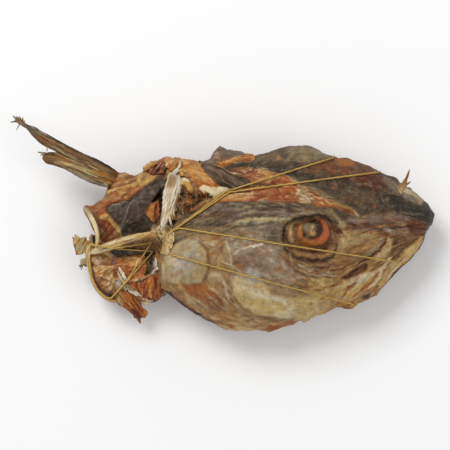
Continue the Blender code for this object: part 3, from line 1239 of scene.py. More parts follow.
# Sun- and wind-dried cod skin: leathery, matt on the cheek and with an oily shine on the snout.
SKIN = Tissue("wind_dried_cod_skin", dull=0.62, shiny=0.3, grit=0.9, depth=0.22, fleck=0.17)
# Dried muscle along the cut nape: amber, slightly translucent and waxy.
FLESH = Tissue("dried_cod_flesh", dull=0.52, shiny=0.25, grit=1.0, depth=0.22, fleck=0.17)
# Dried fin with bony rays under thin skin: matt and horny.
FIN = Tissue("dried_fin_horn", dull=0.6, shiny=0.35, grit=1.0, depth=0.15, fleck=0.1)
# Bone and bare fibres: pale, chalky and dry.
FIBRE = Tissue("bare_bone_fibre", dull=0.66, shiny=0.4, grit=0.9, depth=0.15, fleck=0.08)
# Dried eyeball: hard and horny with a glassy film.
EYE = Tissue("dried_eyeball", dull=0.5, shiny=0.28, grit=1.2, depth=0.1, fleck=0.1, coat=0.06)
# Twisted sisal: golden, dry and matt, with two plies.
TWINE = Tissue("twisted_sisal_twine", dull=0.75, shiny=0.5, grit=0.5, depth=0.12, fleck=0.1)


# ---------------------------------------------------------------- the head

SNOUT_X = 180.75
HEAD_SECTIONS = (
    Section(-55.5, -35, -39, -37, 50, 46, 40),
    Section(-53, -18, -54, -38, 61, 38, 16),
    Section(-46, 6, -62, -32, 72, 35, 5),
    Section(-36, 24, -68, -24, 80, 34, 0),
    Section(-20, 38, -79, -14, 87, 33, 0),
    Section(0, 47, -89, -6, 91, 32, 0),
    Section(20, 55, -90, 0, 92, 32, 0),
    Section(38, 62, -92.5, 3, 92, 32, 0),
    Section(52, 66, -87, 5, 91, 32, 0),
    Section(70, 67.3, -83, 8, 89, 32, 0),
    Section(86, 60.5, -76, 11, 86, 32, 0),
    Section(100, 57.5, -70, 13, 82, 32, 4),
    Section(113, 54, -70, 14, 77, 31, 6),
    Section(130, 47, -61, 13, 70, 30, 9),
    Section(142, 42, -47, 12, 63, 30, 12),
    Section(156, 34, -33, 11, 55, 29, 15),
    Section(167, 26, -20, 10, 47, 29, 18),
    Section(175, 17, -5, 9, 39, 29, 20),
    Section(SNOUT_X, 9, 7, 8, 30, 28, 26),
)

HEAD_FAR_EDGE = (
    (20, 56), (26, 58), (33, 60), (40, 62), (50, 65.5), (60, 67), (72, 67), (76, 65.8), (80, 64), (83, 62.3),
    (86, 60.5), (90, 59.6), (95, 57.8), (98, 56.6), (101, 57.4), (105, 57.3), (108, 56), (115, 53), (120, 51.5),
    (125, 49.8), (130, 47), (135, 44.2), (138, 42.6), (142, 41.8), (146, 40.8), (149, 38.5), (151, 35.5), (155, 33.6),
    (157, 31.8), (160, 30.8), (163, 28), (165, 26.8), (170, 22), (175, 17), (178, 13), (180, 9.5),
)
HEAD_NEAR_EDGE = (
    (-52, -55), (-50, -57.5), (-47, -59.2), (-44, -61.5), (-40, -65), (-35, -69), (-30, -73), (-25, -76.5),
    (-20, -79), (-15, -81.5), (-10, -84), (-5, -86.5), (0, -89), (3, -90.3), (7, -90.8), (12, -91), (20, -90.6),
    (28, -90.2), (33, -90.5), (36, -91.6), (39, -92.3), (42, -91.3), (46, -89.2), (52, -87.2), (60, -85), (64, -82.5),
    (66, -81.6), (68, -83.7), (70, -84), (72, -82.5), (80, -78), (85, -76), (90, -74), (96, -71), (100, -70.3),
    (104, -71.5), (108, -72), (111, -71.5), (113, -69.2), (115, -67.5), (119, -66.4), (124, -64.5), (127, -62),
    (131, -60.5), (133, -57.5), (137, -53.5), (142, -47.5), (150, -39), (157, -33), (163, -27), (168, -20.5),
    (171, -15), (173, -8.5), (174.5, -5), (176, -2.5), (178.5, 0), (180, 5),
)

HEAD_FLOW = Flow(
    (
        Grain(165, 10, -12), Grain(150, 22, -25), Grain(130, 30, -14), Grain(100, 35, -12), Grain(90, 50, -10),
        Grain(60, 58, 8), Grain(60, 26, -18), Grain(30, 28, -4), Grain(5, 22, 14), Grain(-25, 8, 26),
        Grain(0, 8, 10), Grain(35, 8, 3), Grain(95, 6, -30, 14), Grain(120, 3, 2), Grain(150, 2, 2),
        Grain(110, -12, 14, 16), Grain(125, -22, 38, 16), Grain(150, -18, 36, 16), Grain(160, -25, 46, 16),
        Grain(140, -42, 46, 16), Grain(120, -50, 48, 16), Grain(108, -62, 50, 14), Grain(105, -38, 26, 14),
        Grain(85, -38, -12, 16), Grain(65, -34, -28, 14), Grain(70, -48, -18, 16), Grain(90, -58, 40, 12),
        Grain(45, -40, -30), Grain(20, -30, 20, 14), Grain(5, -24, 100, 10), Grain(10, -55, -62, 14),
        Grain(-5, -62, -50, 16), Grain(-30, -62, -42, 16), Grain(-30, -34, 60, 16), Grain(40, -66, -14, 16),
        Grain(35, -84, 4, 12), Grain(0, -82, -18, 14), Grain(60, -80, 22, 12), Grain(-20, -12, 10, 14),
    )
)

# The crown, the far gill cover and the snout
HEAD_CROWN = (
    Area(HIDE, 0.95, 0, 4, ((60, 37), (72, 33), (84, 27), (98, 20), (110, 13), (116, 7), (126, 10), (140, 10),
        (152, 12), (184, 8), (172, 26), (156, 38), (135, 50), (100, 62), (60, 52)), grain=0.5),
    Area(HIDE, 0.95, 0.8, 2, ((20, 54), (30, 51), (40, 50), (50, 46.5), (62, 44), (72, 46), (82, 50), (92, 56),
        (98, 60), (80, 70), (55, 72), (22, 64)), grain=0.5),
    Area(MOSS, 0.75, 0, 6, ((64, 53), (78, 54), (92, 57), (84, 64), (72, 69), (58, 69), (54, 60))),
    Spot(DOVE, 0.5, 0, 3, 83, 61, 12, 5, -18),
    Area(BARK, 0.95, 0, 3, ((66, 45), (74, 49), (86, 54), (96, 58), (108, 57), (120, 52), (132, 47), (122, 46),
        (108, 43.5), (94, 41), (80, 40))),
    Spot(OXIDE, 0.55, 0, 6, 96, 47.5, 30, 9, -14), Spot(BARK, 0.7, 0, 5, 124, 45, 16, 7, -20),
    Spot(PITCH, 0.9, 0, 4, 176, 5, 12, 12), Spot(SOOT, 0.35, 0, 6, 54, 56, 22, 12),
    Spot(ORANGE, 0.6, 0, 4, 103, 53, 16, 8, -10),
    Streak(SOOT, 0.75, -1.4, 3, 6, ((30, 51), (40, 50), (50, 46.5), (60, 43), (70, 41), (78, 39.5))),
    Streak(SOOT, 0.65, -0.5, 3, 6, ((72, 36.5), (84, 37.5), (98, 38), (108, 34.5), (120, 31), (132, 31))),
    Spot(WINE, 0.85, 0, 6, 120, 38, 38, 13, -12), Spot(OLIVE, 0.7, 0, 5, 113, 22, 26, 9, -14),
    Spot(SOOT, 0.75, -0.4, 6, 138, 20, 18, 13, -30),
    Area(DOVE, 0.55, 0, 3, ((137, 41), (143, 38), (148, 35), (151, 30), (150, 27), (145, 28), (139, 31), (135, 36))),
    Streak(TAN, 0.85, 0.8, 1.5, 3.4, ((143, 25.5), (147, 28), (150, 31), (152, 35))),
    Area(PITCH, 0.93, 0, 3, ((142, 25), (147, 22.5), (153, 19.5), (159, 16.5), (166, 15.5), (171, 18.5), (176, 17),
        (184, 8), (180, -2), (174, 0), (165, 3), (157, 6), (149, 9), (144, 13), (141.5, 19)), gloss=0.4),
    Area(DOVE, 0.92, 0.4, 1.8, ((144, 27), (149, 30), (155, 32), (162, 30), (167, 26.5), (171, 22), (169, 17),
        (164, 17.5), (158, 20.5), (152, 23.5), (147, 24.5))),
    Spot(BONE, 0.75, 0, 3, 157, 27.5, 13, 5, -20), Spot(HUSK, 0.8, 0, 3, 165, 22.5, 11, 5, -45),
    Spot(SLATE, 0.7, 0, 2.5, 152, 24.5, 9, 3, -20), Spot(SLATE, 0.55, 0, 2, 160, 23.5, 8, 2, -35),
    Area(SOOT, 0.35, 0, 10, ((60, 36), (84, 24), (110, 10), (150, 8), (176, 10), (166, 20), (150, 24), (138, 34),
        (110, 40), (80, 42))),
    Streak(MOSS, 0.6, 0.3, 1.5, 2.2, ((149, 10.2), (156, 9), (164, 8.8), (170, 8.4)), gloss=0.3),
    Streak(PITCH, 0.75, 0, 4, 8, ((148, 6), (158, 4), (168, 1), (180, 1)), taper=0.2),
    Scatter(90, 5, 2.6, (SOOT, BARK, OXIDE, SLATE, SOOT), ((76, 42), (88, 33), (102, 22), (116, 12), (140, 12),
        (150, 25), (136, 44), (112, 52), (92, 52)), 0.4, 0.2, 2.6, 30),
    Scatter(80, 2.6, 0.9, (DOVE, HUSK, UMBER), ((72, 38), (90, 30), (110, 12), (140, 12), (146, 26), (134, 42),
        (100, 40)), 0.4, 0.2, 0.9, 40),
    Scatter(40, 7, 2, (MOSS, SLATE, TAN), ((26, 54), (50, 52), (70, 52), (90, 60), (72, 66), (46, 64)), 0.35, 0.2, 2),
)

# The cut nape: dried flesh between the near skin and the far gill cover
HEAD_NAPE = (
    Area(HIDE, 0.93, 0, 4, ((-48, 6), (-38, 3), (-20, 0), (0, -3), (20, -3), (38, -8), (48, -14), (54, -4), (66, 4),
        (82, 7), (93, -2), (100, 2), (108, 6), (112, 9), (100, 13), (84, 15.5), (60, 20), (20, 21), (0, 20),
        (-20, 15)), ragged=1.4),
    Spot(MAUVE, 0.55, 0, 6, 10, 14, 44, 9, 3), Spot(SOOT, 0.45, 0, 6, -18, 6, 30, 7, 20),
    Spot(SOOT, 0.5, 0, 3, -16, 0, 34, 3.5, 3),
    Streak(MAUVE, 0.6, 0.4, 3, 3.5, ((4, 6), (18, 8), (34, 11.5), (50, 12.5))),
    Streak(HUSK, 0.85, 0.7, 2.5, 5, ((4, 0.5), (12, 1.5), (22, 4), (34, 3.5), (48, 4.5), (57, 4)), ragged=1.5),
    Streak(CHALK, 0.6, 0, 1.2, 1.6, ((8, 0.8), (15, 2), (22, 2.6))),
    Streak(BONE, 0.5, 0, 2, 2.5, ((26, 3.5), (36, 4), (46, 4.6)), ragged=1.6),
    Spot(DOVE, 0.7, 0, 3, 49, 8, 12, 8, 60), Spot(DOVE, 0.55, 0, 5, 33, -8, 12, 12),
    Spot(SLATE, 0.75, 0, 4, 40, -9, 14, 12, -40), Spot(DOVE, 0.5, 0, 4, 32, -2, 34, 8, 3),
    Spot(BARK, 0.5, 0, 5, -14, 6, 30, 8, 14),
    Streak(MOSS, 0.6, 0.5, 2, 3.4, ((86, 14), (92, 9), (96, 5), (100, 0), (102, -4))),
    Streak(HUSK, 0.5, 0.3, 1.2, 1.6, ((90, 12), (95, 6), (98, 2))),
    Area(RUST, 0.95, -1.0, 1.2, ((-50, 4), (-44, 9), (-36, 13), (-26, 17), (-14, 23), (-4, 27), (6, 31), (16, 33),
        (24, 34), (20, 38), (10, 42), (4, 45.4), (10, 46.8), (20, 47), (30, 46.4), (38, 44.4), (45, 41.8), (52, 40.4),
        (58, 39), (65, 34), (71, 30), (78, 26), (85, 22.5), (92, 19.5), (100, 16.4), (106, 14), (112, 10.5),
        (109, 8.8), (100, 12), (90, 14.5), (83, 14.5), (72, 16.5), (62, 18.5), (50, 19.3), (36, 19.6), (20, 19.6),
        (8, 19.6), (-4, 18.6), (-14, 16.2), (-26, 12), (-38, 7), (-46, 4)), ragged=0.8, gloss=0.15),
    Spot(OXIDE, 0.7, 0, 6, 42, 25, 52, 12, -4),
    Area(HONEY, 0.8, 0.5, 3, ((-26, 13), (-14, 17), (-4, 20), (8, 21), (18, 21), (26, 22), (20, 26), (8, 27),
        (-4, 25), (-16, 20)), ragged=1.2),
    Streak(CREAM, 0.6, 0.4, 1.5, 2.6, ((16, 22), (22, 24.5), (24, 27))),
    Streak(CREAM, 0.8, 0.5, 1.5, 2.4, ((56, 39), (62, 35), (68, 30.4), (73, 27.6)), ragged=1.3),
    Streak(CREAM, 0.7, 0.5, 1.2, 2, ((61, 21), (66, 18.5), (70, 18)), ragged=1),
    Streak(BONE, 0.5, 0.3, 1.5, 2.6, ((70, 24), (78, 23), (88, 19.5)), ragged=1.4),
    Streak(HONEY, 0.9, 0.5, 1.2, 2.6, ((86, 18.5), (94, 17), (102, 14.5), (109, 12))),
    Streak(BONE, 0.8, 0.6, 1, 1.8, ((109, 12), (112, 9.5), (113, 7))), Spot(WINE, 0.85, 0, 2.5, 20, 44.6, 22, 5, -2),
    Spot(OXIDE, 0.7, 0, 5, 28, 38, 34, 7, -4), Streak(CREAM, 0.5, 0.3, 1.2, 1.6, ((8, 43), (12, 42), (16, 41))),
    Area(HONEY, 0.8, 0.4, 2.5, ((29, 46), (34, 45.4), (40, 43), (47, 40.6), (44, 38.4), (36, 39), (30, 41))),
    Streak(SOOT, 0.85, -0.6, 2, 5, ((3, 48), (10, 49.6), (20, 50), (30, 49.6), (40, 47.6), (48, 44.6), (56, 42))),
    Streak(BARK, 0.85, 0.3, 1.6, 4, ((22, 34.6), (30, 33.4), (40, 33), (50, 32.4))),
    Streak(PITCH, 0.8, -1.2, 1.5, 2.6, ((5, 27.5), (12, 28), (22, 28.5))),
    Scatter(120, 6, 1.3, (CREAM, OXIDE, HONEY, LIVER, ORANGE, TAN), ((-24, 13), (0, 20), (30, 21), (60, 20), (84, 16),
        (72, 27), (58, 38), (40, 40), (26, 34), (4, 29), (-14, 22)), 0.45, 0.5, 1.2, 24),
    Scatter(50, 6, 1.4, (CREAM, WINE, TAN, RUST), ((8, 46), (20, 48), (34, 48), (46, 43), (54, 40), (40, 37),
        (22, 38), (10, 43)), 0.5, 0.5, 1.2, 24),
    Scatter(46, 5, 1.1, (BONE, PEARL, UMBER), ((56, 38), (61, 32), (63, 26), (60, 21), (70, 19), (78, 19), (72, 26),
        (64, 33)), 0.6, 0.5, 1, 40),
    Spot(SOOT, 0.3, 0, 8, 24, 12, 90, 12, 1), Spot(PITCH, 0.85, 0, 4, 177, 6, 10, 10),
    Scatter(90, 8, 2, (DOVE, SOOT, BARK, SOOT, HUSK), ((-40, 3), (-10, 1), (20, -2), (48, 4), (56, 8), (80, 14),
        (60, 19), (20, 19), (-14, 14)), 0.4, 0.3, 1.8, 8),
)

# The cheek and the gill cover
HEAD_CHEEK = (
    Area(TAN, 0.8, 0, 8, ((-60, -48), (-45, -50), (-22, -51), (-12, -46), (-4, -58), (8, -72), (22, -84), (24, -95),
        (-5, -95), (-60, -62)), grain=0.6),
    Area(DOVE, 0.55, 0, 8, ((-2, -10), (20, -8), (46, -14), (58, -28), (60, -44), (44, -46), (20, -42), (4, -40),
        (-8, -30)), grain=0.4),
    Area(TAN, 0.7, 0, 5, ((-14, -12), (0, -12), (6, -30), (2, -44), (-2, -56), (-10, -50), (-16, -34)), grain=0.4),
    Area(BONE, 0.7, 0, 5, ((10, -42), (22, -44), (34, -48), (50, -54), (64, -62), (76, -62), (92, -66), (86, -76),
        (70, -86), (60, -79), (46, -79), (30, -77), (16, -69), (7, -56)), grain=0.4),
    # upper cheek
    Area(OLIVE, 0.8, 0, 2.5, ((-50, -18), (-40, -13), (-31, -9), (-14, -9), (4, -10), (20, -10), (6, -3), (-14, -2.5),
        (-38, -3))),
    Streak(SOOT, 0.75, -0.9, 2, 2.8, ((-47, -21.5), (-42, -16), (-36, -12), (-31, -10.5))),
    Spot(BONE, 0.5, 0, 5, 26, -86, 22, 6),
    # cloudy cheek skin
    Scatter(100, 8, 5, (PEARL, RUST, ASH, FAWN, CREAM, UMBER), ((-12, -12), (20, -10), (46, -16), (58, -32),
        (80, -50), (60, -56), (36, -50), (14, -44), (0, -56), (-10, -46)), 0.3, 0.3, 3, 40),
    Scatter(110, 6, 1.4, (PEARL, OXIDE, BONE, BARK), ((-12, -14), (20, -12), (46, -18), (58, -34), (90, -52),
        (60, -54), (36, -48), (14, -44), (0, -50), (-10, -42)), 0.35, 0.3, 1.5, 30),
    # bony crest lines
    Streak(PEARL, 0.75, 0.8, 1.8, 2.2, ((2, -14), (4, -19), (5.6, -25), (6.4, -31), (6, -35)), ragged=1),
    Streak(PEARL, 0.85, 0.9, 1.4, 1.8, ((8, -25.4), (12, -22.4), (17, -20), (23, -18.4)), ragged=0.8),
    Streak(CHALK, 0.85, 0.7, 1.4, 2.4, ((21, -18.8), (27, -18), (33.5, -17)), ragged=1.3),
    Streak(BONE, 0.6, 0.5, 1.2, 1.6, ((-2, -31), (4, -33), (10, -36), (16, -42))),
    Spot(UMBER, 0.7, -0.8, 5, 13, -33, 10, 13, 30), Spot(UMBER, 0.4, 0, 4, 4, -25, 8, 9),
    Area(MAUVE, 0.4, 0.3, 5, ((14, -22), (24, -20.5), (36, -22), (40, -30), (36, -37), (28, -40), (18, -38),
        (12, -30))),
    # the ASH spot is a painted blue-grey highlight on the cheek's shiny skin
    Spot(ASH, 0.95, 0.5, 4, 25, -43, 13, 11, -40, gloss=0.4), Spot(BARK, 0.55, -0.6, 4, 52, -24, 13, 9, -40),
    Spot(DOVE, 0.5, 0.3, 4, 44, -46, 24, 8, -16), Spot(OLIVE, 0.3, 0, 4, 46, -25, 12, 12),
    Area(FAWN, 0.85, -0.4, 3, ((35, -49), (50, -53), (66, -57.5), (69, -60), (60, -62.5), (48, -61), (40, -58))),
    # the pale lower plate
    Area(CREAM, 0.8, 0.8, 4, ((12, -50), (20, -56), (28, -59), (38, -60), (48, -62.5), (56, -66), (58.5, -71),
        (55, -75.5), (47, -78), (36, -77), (25, -74), (15, -67), (9, -58)), ragged=1.0, grain=0.3),
    Spot(STRAW, 0.75, 0, 6, 33, -66, 42, 13, -14),
    Streak(PEARL, 0.7, 0.4, 2.4, 4, ((16, -52), (24, -57), (34, -60.5), (44, -62), (52, -65.5), (57, -70))),
    Streak(BONE, 0.75, 0, 2.4, 5, ((57, -66), (57, -72), (51, -75.5), (42, -76))),
    Streak(UMBER, 0.6, -0.7, 2.4, 2.6, ((7, -52), (9, -62), (15, -69), (24, -75.5), (36, -78.8), (48, -79.5))),
    Area(STRAW, 0.6, 0.4, 4, ((60, -62), (72, -60), (84, -58), (82, -74), (74, -78), (66, -78), (62, -72)),
        grain=0.4),
    # lower edge
    Streak(HONEY, 0.6, 0.7, 1.5, 3, ((-34, -67), (-20, -72), (-6, -75), (6, -80), (14, -82))),
    Streak(CREAM, 0.7, 0.6, 1.5, 2.6, ((-26, -72), (-10, -78), (4, -83), (16, -84.5))),
    Streak(LIVER, 0.85, -0.6, 2.5, 5, ((-50, -56), (-44, -61), (-36, -67), (-24, -76), (-8, -84))),
    # the PITCH streak is the underside's dark skin at the lower-left edge, deepened with painted shade
    Streak(PITCH, 0.95, 0, 2.4, 5, ((-50, -59.6), (-36, -70.6), (-20, -81), (0, -92)), taper=0.2),
    Streak(CREAM, 0.9, 0.4, 1.8, 5, ((-4, -86), (6, -89), (16, -89), (26, -88.6), (34, -90))),
    Streak(RUST, 0.8, 0.4, 2, 5, ((24, -86), (36, -87.5), (48, -87), (62, -83))),
    Streak(BONE, 0.85, 0.5, 1, 2, ((22, -82.5), (27, -82), (32, -82.6))),
    Streak(TAN, 0.7, 0, 1.5, 3, ((35, -91), (42, -90.5), (50, -87.5), (60, -84.5))),
    Streak(HONEY, 0.6, 0, 2, 4, ((72, -80), (82, -75.5), (92, -71))),
    # reddish lower rear
    Spot(RUST, 0.6, 0, 6, -20, -56, 34, 12, -14), Spot(MAUVE, 0.5, 0, 5, -15, -68, 26, 8, -18),
    Streak(CREAM, 0.7, 0.6, 1.8, 3.2, ((-45, -52), (-41, -57), (-37, -62), (-34, -65)), ragged=1.2),
    Streak(BONE, 0.6, 0.5, 1.8, 2.6, ((-34, -57), (-26, -63), (-16, -67), (-4, -70)), ragged=1.6),
    Streak(BONE, 0.6, 0.5, 2, 3, ((-14, -52), (-6, -57), (0, -64), (4, -70)), ragged=1.6),
    Streak(PEARL, 0.5, 0.4, 2, 3, ((0, -46), (2, -54), (5, -62)), ragged=1.6),
    Streak(OXIDE, 0.6, -0.3, 2, 3, ((-43, -55), (-38, -61), (-33, -66))),
    Spot(LIVER, 0.35, 0, 6, -6, -66, 18, 14, -40), Spot(RUST, 0.6, 0, 4, 44, -85.6, 18, 6, 4),
    Spot(PEARL, 0.45, 0, 5, -6, -44, 12, 9), Spot(CREAM, 0.6, 0, 4, 25, -87, 18, 6, -4),
    # the round plate of the gill cover
    Area(HUSK, 0.8, 1.0, 3, ((-31, -12.5), (-24, -14), (-18.5, -17.5), (-15, -23), (-13.8, -29), (-14.2, -36),
        (-15.5, -42), (-18.5, -47.5), (-24, -50), (-32, -49.5), (-40, -49.5), (-47, -48), (-51, -40), (-52, -32),
        (-48, -26), (-43, -20), (-37, -15)), ragged=0.9, grain=0.15),
    # painted shadow along the plate's right edge, where it stands above the cheek
    Streak(BARK, 0.55, -0.7, 1.6, 1.9, ((-21, -14), (-15, -20), (-12.4, -28), (-12.8, -38), (-15.4, -46), (-19, -49)),
        ragged=0.6),
    # the ASH spot is a painted blue-grey highlight in the middle of the plate
    Spot(DOVE, 0.5, 0.2, 4, -30, -15, 15, 7, -30), Spot(ASH, 0.75, 0.3, 7, -34, -34, 24, 16, 40, gloss=0.3),
    Spot(PEARL, 0.5, 0.4, 4, -43, -31, 14, 8, -40), Spot(CREAM, 0.6, 0.4, 3, -41, -47, 9, 6),
    Streak(CHALK, 0.45, 0.3, 2, 2.6, ((-50, -48), (-51, -42), (-51, -34))),
    Scatter(44, 7, 2.2, (ASH, HUSK, DOVE, TAN, TAN), ((-32, -13), (-20, -18), (-16, -32), (-20, -46), (-44, -46),
        (-50, -34), (-42, -22)), 0.5, 0.25, 2, 35),
    Scatter(50, 9, 3, (PEARL, HONEY, STRAW, BONE), ((14, -46), (34, -50), (60, -64), (88, -68), (68, -82), (40, -77),
        (20, -70), (8, -58)), 0.35, 0.25, 3, 20),
    Scatter(100, 9, 2, (RUST, CREAM, OXIDE, CREAM, UMBER), ((-46, -52), (-20, -52), (-6, -60), (6, -72), (30, -82),
        (60, -80), (60, -88), (30, -89), (0, -86), (-30, -70)), 0.4, 0.35, 1.8, 14),
)

# The eye's socket and lids
HEAD_EYE = (
    Area(BARK, 0.92, -5.2, 6, ((50, -14), (51, -4), (56, 2), (66, 5.5), (78, 7), (86, 6), (91, -3), (94, -13),
        (92, -22), (83, -28), (70, -28), (58, -23)), ragged=0.5, grain=0.5),
    Streak(FAWN, 0.45, 2.2, 5, 7, ((47, -14), (49, -5), (54, 3), (64, 8), (78, 10), (88, 8.5))),
    # painted shadow under the upper rim of the socket
    Streak(PITCH, 0.8, -0.4, 1.4, 2.2, ((50, -16), (50, -8), (52, -1), (58, 3.6), (68, 6.4), (78, 7.4), (85, 6.6),
        (89.5, 2), (91.5, -4)), taper=0.5),
    Streak(DOVE, 0.5, 0.5, 1.5, 1.8, ((53, 5), (62, 8.5), (74, 9.8), (84, 9))),
    Area(TAN, 0.85, 1.2, 1.8, ((52, -3), (56, 0.5), (60, 2), (58, -6), (60, -14), (56, -17), (53, -12))),
    Streak(CREAM, 0.75, 0.8, 1.2, 1.6, ((58, 0), (56, -5), (56, -10), (59, -16))),
    Streak(SOOT, 0.7, 0, 1.2, 1.6, ((53, -6), (53, -12), (56, -18))),
    # lower lid in rolls
    Streak(UMBER, 0.9, 4.0, 3, 6, ((53, -19), (60, -22), (68, -24.5), (78, -26), (86, -24.5), (92, -20))),
    Streak(TAN, 0.75, 1.5, 1.8, 3, ((57, -21.5), (64, -25), (72, -27.2), (82, -27.5), (89, -24))),
    Streak(LIVER, 0.85, -1.4, 1.4, 2.2, ((62, -21), (70, -23.2), (80, -23.6), (88, -21))),
    Streak(SOOT, 0.85, -1.6, 1.6, 2.6, ((51, -20), (56, -25.5), (64, -29), (74, -30.8), (84, -30.6), (92, -26.5),
        (95, -20))),
    Streak(LIVER, 0.7, -0.5, 1.4, 2.4, ((95, -20), (94, -12), (91, -6), (88, -3))),
    Spot(FAWN, 0.8, 0.8, 2.5, 93, -9, 6, 13, 10), Spot(FAWN, 0.6, 0, 4, 88, 9, 10, 5, -10),
    Spot(LIVER, 0.5, 0, 5, 74, -34, 38, 14, -6), Spot(LIVER, 0.85, -0.9, 2.5, 95.5, -5, 11, 5.5, -35),
    Spot(HUSK, 0.8, 0.7, 2, 100, 1, 6, 4.4, -20),
    # folds below the eye
    Streak(BARK, 0.7, -0.9, 1.8, 2.6, ((52, -24), (58, -30), (66, -34.5), (76, -36.5), (88, -36))),
    Streak(TAN, 0.55, 0.9, 2, 3.2, ((56, -28), (64, -32.5), (74, -34.2), (86, -33.6), (94, -30))),
    Streak(DOVE, 0.6, 0.8, 1.8, 2.8, ((58, -33), (66, -38.5), (76, -41), (88, -41.5), (98, -37))),
    Streak(BARK, 0.7, -0.9, 1.6, 2.2, ((57, -35.5), (66, -41.5), (78, -44.5), (90, -45), (98, -49))),
    Streak(BONE, 0.4, 0.5, 1.4, 1.8, ((62, -33), (68, -36.5), (76, -38.5))),
    Streak(LIVER, 0.7, -0.6, 1.4, 1.8, ((88, -39.8), (96, -38.5), (104, -35))),
    Streak(DOVE, 0.4, 0.6, 2, 3, ((50, -30), (56, -38), (66, -46), (76, -48))),
    Area(STRAW, 0.75, 0, 5, ((72, -47), (84, -46), (98, -48), (104, -54), (96, -62), (84, -64), (72, -60))),
    Scatter(80, 8, 1.6, (TAN, OXIDE, PEARL, BARK, HONEY), ((52, -26), (70, -33), (92, -30), (100, -36), (100, -52),
        (84, -62), (66, -52), (56, -40)), 0.4, 0.4, 1.4, 14),
)

